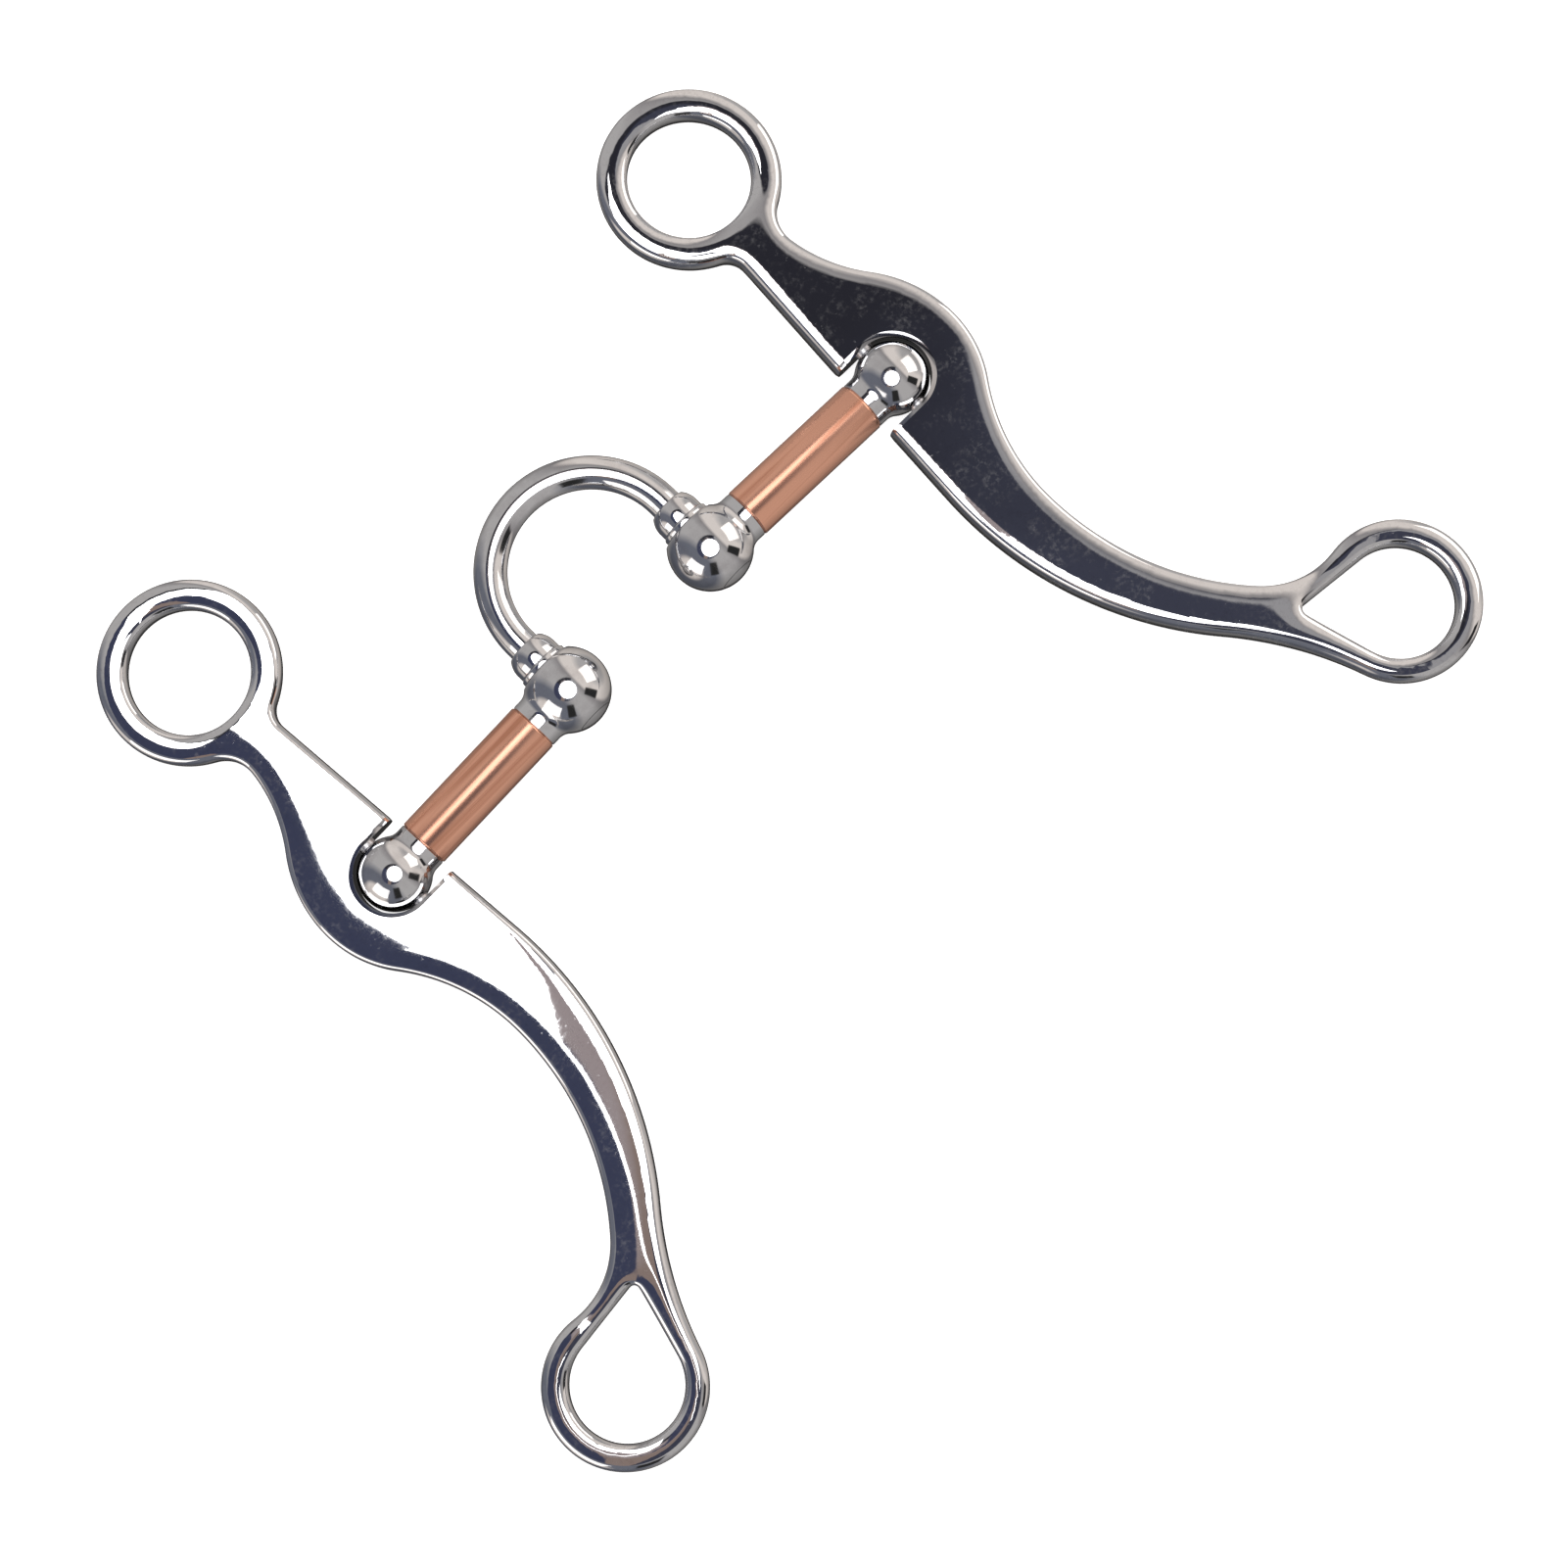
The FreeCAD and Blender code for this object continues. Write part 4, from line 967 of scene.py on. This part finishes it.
def set_inputs(modifier, values):
    """Set a tree's named inputs by their sockets' identifiers."""
    for item in modifier.node_group.interface.items_tree:
        if item.in_out == "INPUT" and item.name in values:
            modifier[item.identifier] = values[item.name]


def tenon_profile(ball, port, top):
    """Half section of a turned-down leg, with its peened end flush in the ball."""
    mouth = head_foot(port.head, ball)
    turn = math.degrees(math.asin(port.head / ball))
    dome = bow((0, 0), ball, 180, 180 - turn, 16)[1:]
    cone_top = -(mouth - port.head + port.tenon)
    return [(-ball, 0.0)] + dome + [(cone_top, port.tenon), (top, port.tenon), (top, 0.0)]


class CURB_OT_port(bpy.types.Operator):
    """The port bar with its two tenons"""

    bl_idname = "curb.port"
    bl_label = "Port bar"

    def execute(self, context):
        s = context.scene.curb_port
        ball = context.scene.curb_ball.port_ball
        left, right = (Vector(JOINTS[f"{word}_cannon_swivel"]["pos_m"]) for word, _ in SIDES)
        top = s.washer_foot + s.washer_thickness + s.collar_height
        bar = bpy.data.objects.new("port_bar_bent", bpy.data.meshes.new("port_bar_bent"))
        context.scene.collection.objects.link(bar)
        modifier = bar.modifiers.new("bar", "NODES")
        modifier.node_group = bar_tree()
        set_inputs(modifier, {
            "Bar Radius": s.bar,
            "Half Spacing": (right.x - left.x) / 2,
            "Rise": s.rise,
            "Leg Foot": top,
            "Place": (left + right) / 2,
            "Finish": finish("fitting"),
        })
        apply_modifiers(bar)
        work = bmesh.new()
        work.from_mesh(bar.data)
        for centre in (left, right):
            lathe(work, tenon_profile(ball, s, top), centre, ALONG, BAR_ROUND_STEPS)
        weld(work, bar.data)
        settle(bar, "port", ["port_bar"], "fitting")
        return {"FINISHED"}


def collar_profile(s, foot, bore):
    """Straight at its foot, then a round shoulder in to its top, with eased edges."""
    shoulder_foot = foot + s.collar_base
    rise = s.collar_height - s.collar_base
    step = s.collar_radius - s.collar_top
    shoulder = (rise ** 2 + step ** 2) / (2 * step)
    turn = math.degrees(math.asin(rise / shoulder))
    centre = (shoulder_foot, s.collar_radius - shoulder)
    side = bow(centre, shoulder, 90, 90 - turn, 18)
    top = foot + s.collar_height
    lip = bow((foot + EASE, s.collar_radius - EASE), EASE, 180, 90, 5)
    crown = [(top - 0.4 * EASE, side[-1][1] - 0.1 * EASE), (top, side[-1][1] - 0.8 * EASE)]
    return closed([(foot, bore)] + lip + side[:-1] + crown + [(top, bore)])


class CURB_OT_fittings(bpy.types.Operator):
    """The bell-shaped collars and the bright rings under them"""

    bl_idname = "curb.fittings"
    bl_label = "Collars and washers"

    def execute(self, context):
        s = context.scene.curb_port
        top = s.washer_foot + s.washer_thickness
        collar = collar_profile(s, top, s.tenon)
        washer = tube(s.washer_foot, top, s.tenon, s.washer_radius, WASHER_EDGE, 8)
        for word, _ in SIDES:
            centre = ball_ends(word)[0]
            for look, part, profile in (("collar_bell", "port_collar", collar),
                                        ("bright_washer", "port_washer", washer)):
                ring = turned(f"{word}_{look}", profile, centre, ALONG, COLLAR_STEPS)
                settle(ring, "port", [f"{word}_{part}"], "fitting")
        return {"FINISHED"}


# ---- sleeves and hidden rods ----


class CURB_OT_sleeves(bpy.types.Operator):
    """The copper sleeves between the necks"""

    bl_idname = "curb.sleeves"
    bl_label = "Copper sleeves"

    def execute(self, context):
        s = context.scene.curb_sleeve
        balls = context.scene.curb_ball
        for word, _ in SIDES:
            inner, outer, way = ball_ends(word)
            first = balls.port_neck_end
            last = (outer - inner).length - balls.hinge_neck_end
            profile = tube(first, last, balls.core, s.radius, s.edge, 7)
            sleeve = turned(f"{word}_sleeve_drawn", profile, inner, way, ROUND_STEPS)
            settle(sleeve, f"{word}_cannon", [f"{word}_copper_sleeve"], "copper")
        return {"FINISHED"}


class CURB_OT_rods(bpy.types.Operator):
    """The finish of the rods inside the sleeves and of the hinge pins"""

    bl_idname = "curb.rods"
    bl_label = "Rods and pins"

    def execute(self, context):
        for word, _ in SIDES:
            for part in ("cannon_core", "hinge_pin"):
                dress(frame["nodes"][f"{word}_{part}"], "core")
        return {"FINISHED"}


# ---- stage ----


FLOOR_REACH = 3.0
FLOOR_GAP = 0.2 * MM
FLOOR_GLOW = 0.75


def soft_light(name, place, aim, size, glow, lit=None, turn=0.0, tint=(1, 1, 1), shape="RECTANGLE"):
    """A soft box of even brightness that the camera doesn't see, lighting all or some of the pieces."""
    data = bpy.data.lights.new(name, "AREA")
    data.shape = shape
    data.size, data.size_y = size
    area = size[0] * size[1] * (1 if shape == "RECTANGLE" else math.pi / 4)
    data.energy = glow * area * math.pi
    data.color = tint
    lamp = bpy.data.objects.new(name, data)
    lamp.location = place
    aiming = (Vector(aim) - Vector(place)).to_track_quat("-Z", "Y").to_matrix()
    lamp.rotation_euler = (aiming @ Matrix.Rotation(math.radians(turn), 3, "Z")).to_euler()
    lamp.visible_camera = False
    bpy.context.scene.collection.objects.link(lamp)
    if lit:
        group = bpy.data.collections.new(name + "_pieces")
        for piece in lit:
            group.objects.link(piece)
        lamp.light_linking.receiver_collection = group


TENT = (0.56, 0.54, 0.53, 1)
WARM = (0.95, 0.87, 0.81, 1)
DUSK = (0.19, 0.20, 0.24, 1)
SHADE = (0.36, 0.34, 0.34, 1)
PALE = (0.42, 0.41, 0.42, 1)
NAVY = (0.060, 0.068, 0.122, 1)
DEEP_NAVY = (0.062, 0.066, 0.098, 1)
BLACK = (0.030, 0.030, 0.040, 1)
MAUVE = (0.44, 0.37, 0.37, 1)
BROWN = (0.33, 0.25, 0.22, 1)
GAP_WAY = (0.82, 0.57)
CAP_MIDDLE = (-0.10, -0.05)
CAP_REACH = (0.54, 0.52)


def unit(part):
    """A direction's part, from 0 at one end to 1 at the other."""
    return part * 0.5 + 0.5


def tent_room(board, across, along, rise):
    """A pale tent with dark and warm walls, and a dark gap in it on either side."""
    walls = board.ramp(unit(across), [
        (0.04, WARM), (0.08, DUSK), (0.22, DUSK), (0.36, TENT), (0.60, TENT), (0.71, SHADE),
        (0.76, WARM), (0.88, WARM), (0.95, TENT),
    ])
    under = board.ramp(unit(rise), [(0.02, grey(0.06)), (0.07, grey(0.45)), (0.5, grey(1))])
    room = board.blend(1.0, walls, under, "MULTIPLY")
    reach = board.maths("ABSOLUTE", across)
    off = board.maths("ABSOLUTE", reach * GAP_WAY[0] + along * GAP_WAY[1])
    gap = board.ramp(off, fade_out(0.13, 0.17))
    gap = gap * board.ramp(reach * GAP_WAY[1] - along * GAP_WAY[0], fade(0.74, 0.78))
    gap = gap * board.ramp(rise, fade(0.0, 0.08))
    return board.blend(gap, room, grey(0.03))


def dark_cap(board, across, along):
    """The cap overhead: navy on the left, mauve in the middle and near-black on the right."""
    skew = unit(across + (0.06 - along).at_least(0) * 1.6)
    right = board.ramp(unit(along), [(0.54, DEEP_NAVY), (0.58, BLACK)])
    middle = board.ramp(unit(along), [(0.505, BROWN), (0.530, MAUVE), (0.62, MAUVE), (0.66, BLACK)])
    colour = board.blend(board.ramp(skew, fade(0.422, 0.430)), NAVY, middle)
    colour = board.blend(board.ramp(skew, fade(0.575, 0.583)), colour, right)
    foot = board.ramp(across - along * 0.45, fade(0.300, 0.308))
    foot = foot * board.ramp(unit(along), fade_out(0.545, 0.560))
    return board.blend(foot, colour, PALE)


def studio_world():
    """What the steel mirrors: a pale tent under a dark cap. Everything else is lit by white."""
    world = bpy.data.worlds.new("studio")
    world.use_nodes = True
    board = Board(world.node_tree)
    way = board.node("ShaderNodeTexCoord")
    across, along, rise = board.node("ShaderNodeSeparateXYZ", None, {0: way}).siblings()
    room = tent_room(board, across, along, rise)
    lateral = (across - CAP_MIDDLE[0]) / CAP_REACH[0]
    endways = (along - CAP_MIDDLE[1]) / CAP_REACH[1]
    spread = board.maths("SQRT", lateral * lateral + endways * endways)
    cap = board.ramp(spread, fade_out(0.95, 1.0)) * board.ramp(rise, fade(0.1, 0.2))
    room = board.blend(cap, room, dark_cap(board, across, along))
    seen = board.node("ShaderNodeLightPath")
    background = world.node_tree.nodes["Background"]
    board.connect(board.blend(seen, room, grey(1)), background.inputs["Color"])
    bpy.context.scene.world = world


def make_floor(colours):
    data = bpy.data.meshes.new("floor")
    corners = [(x * FLOOR_REACH, y * FLOOR_REACH, 0) for x, y in ((-1, -1), (1, -1), (1, 1), (-1, 1))]
    data.from_pydata(corners, [], [(0, 1, 2, 3)])
    floor = bpy.data.objects.new("floor", data)
    floor.location.z = CAD_BOX[0].z - FLOOR_GAP
    bpy.context.scene.collection.objects.link(floor)
    material, board, shader = new_finish("pale_floor", 0.0)
    for name, value in (
        ("Base Color", rgba(colours.floor)),
        ("Roughness", 0.9),
        ("Specular IOR Level", 0.1),
        ("Emission Color", grey(1)),
        ("Emission Strength", FLOOR_GLOW),
    ):
        board.connect(value, shader[name])
    data.materials.append(material)
    floor.visible_glossy = False
    return floor


BOX_HEIGHT = 0.5
BOX_GLOW = 4.0
# Middle across, middle along, width, length and turn of the boxes that the cheeks' faces mirror.
FACE_BOXES = (
    (-0.0065, 0.1700, 0.290, 0.220, -4.0),
    (-0.0210, 0.0866, 0.285, 0.050, 17.0),
    (0.0279, 0.0443, 0.215, 0.050, 25.3),
    (0.0275, -0.0795, 0.215, 0.201, 0.0),
    (-0.1480, -0.0780, 0.008, 0.205, 0.0),
)


COPPER_BOX_GLOW = 2.15
COPPER_BOX_SIZE = (0.40, 0.17)
COPPER_BOX_ALONG = 0.05
ROUND_BOX_PLACE = (-0.0723, -0.1101, 0.90)
ROUND_BOX_SIZE = (0.76, 0.76)
# Name, place, width and length, glow and tint of the panels at the sides.
SIDE_PANELS = (
    ("right_panel", (0.75, -0.10, 0.30), (0.55, 0.50), 1.35, (1, 0.93, 0.86)),
    ("left_panel", (-0.75, -0.10, 0.24), (0.55, 0.42), 1.5, (1, 0.97, 0.93)),
)


def wearing(*finish_names):
    """The pieces that have one of the finishes."""
    metals = [finish(name) for name in finish_names]
    meshes = [item for item in bpy.context.scene.objects if item.type == "MESH"]
    return [item for item in meshes if any(metal in list(item.data.materials) for metal in metals)]


def overhead_box(name, x, y, size, glow, lit, turn=0.0):
    soft_light(name, (x, y, BOX_HEIGHT), (x, y, 0), size, glow, lit, turn)


CAMERA_PLACE = Vector((-0.0723, -0.1101, 0.8959))
CAMERA_AIM = Vector((-0.0030, -0.0195, 0.0060))
CAMERA_UP = Vector((0.7063, 0.6966, 0.1259))
CAMERA_LENS = 107.8


def make_camera():
    data = bpy.data.cameras.new("camera")
    data.lens = CAMERA_LENS
    data.sensor_width = 36
    data.clip_start = 0.05
    camera = bpy.data.objects.new("camera", data)
    back = (CAMERA_PLACE - CAMERA_AIM).normalized()
    right = CAMERA_UP.cross(back).normalized()
    turn = Matrix((right, back.cross(right), back)).transposed()
    camera.matrix_world = Matrix.Translation(CAMERA_PLACE) @ turn.to_4x4()
    bpy.context.scene.collection.objects.link(camera)
    bpy.context.scene.camera = camera


class CURB_OT_stage(bpy.types.Operator):
    """Floor, soft boxes, surroundings and camera"""

    bl_idname = "curb.stage"
    bl_label = "Stage"

    def execute(self, context):
        floor = make_floor(context.scene.curb_finish)
        studio_world()
        cheeks = wearing("cheek") + [floor]
        for i, (x, y, width, length, turn) in enumerate(FACE_BOXES):
            overhead_box(f"face_box_{i}", x, y, (width, length), BOX_GLOW, cheeks, turn)
        overhead_box("copper_box", 0, COPPER_BOX_ALONG, COPPER_BOX_SIZE, COPPER_BOX_GLOW, wearing("copper"))
        fittings = wearing("fitting", "core")
        soft_light("round_box", ROUND_BOX_PLACE, CAMERA_AIM, ROUND_BOX_SIZE, BOX_GLOW, fittings, shape="DISK")
        for name, place, size, glow, tint in SIDE_PANELS:
            soft_light(name, place, (0, 0, 0), size, glow, tint=tint)
        make_camera()
        settings = context.scene.view_settings
        settings.view_transform = "Standard"
        settings.look = "None"
        return {"FINISHED"}


OPERATORS = (
    CURB_OT_cheeks,
    CURB_OT_balls,
    CURB_OT_port,
    CURB_OT_fittings,
    CURB_OT_sleeves,
    CURB_OT_rods,
    CURB_OT_stage,
)


class CURB_PT_bench(bpy.types.Panel):
    """Makes the bit piece by piece"""

    bl_idname = "CURB_PT_bench"
    bl_label = "Curb bit"
    bl_space_type = "VIEW_3D"
    bl_region_type = "UI"
    bl_category = "Curb bit"

    def draw(self, context):
        for operator in OPERATORS:
            self.layout.operator(operator.bl_idname)


CLASSES = (*SIZE_GROUPS.values(), *OPERATORS, CURB_PT_bench)


def register():
    for item in CLASSES:
        bpy.utils.register_class(item)
    for name, group in SIZE_GROUPS.items():
        setattr(bpy.types.Scene, name, bpy.props.PointerProperty(type=group))


def unregister():
    for name in SIZE_GROUPS:
        delattr(bpy.types.Scene, name)
    for item in reversed(CLASSES):
        bpy.utils.unregister_class(item)


def main():
    register()
    for operator in OPERATORS:
        group, name = operator.bl_idname.split(".")
        getattr(getattr(bpy.ops, group), name)()


if __name__ == "__main__":
    main()
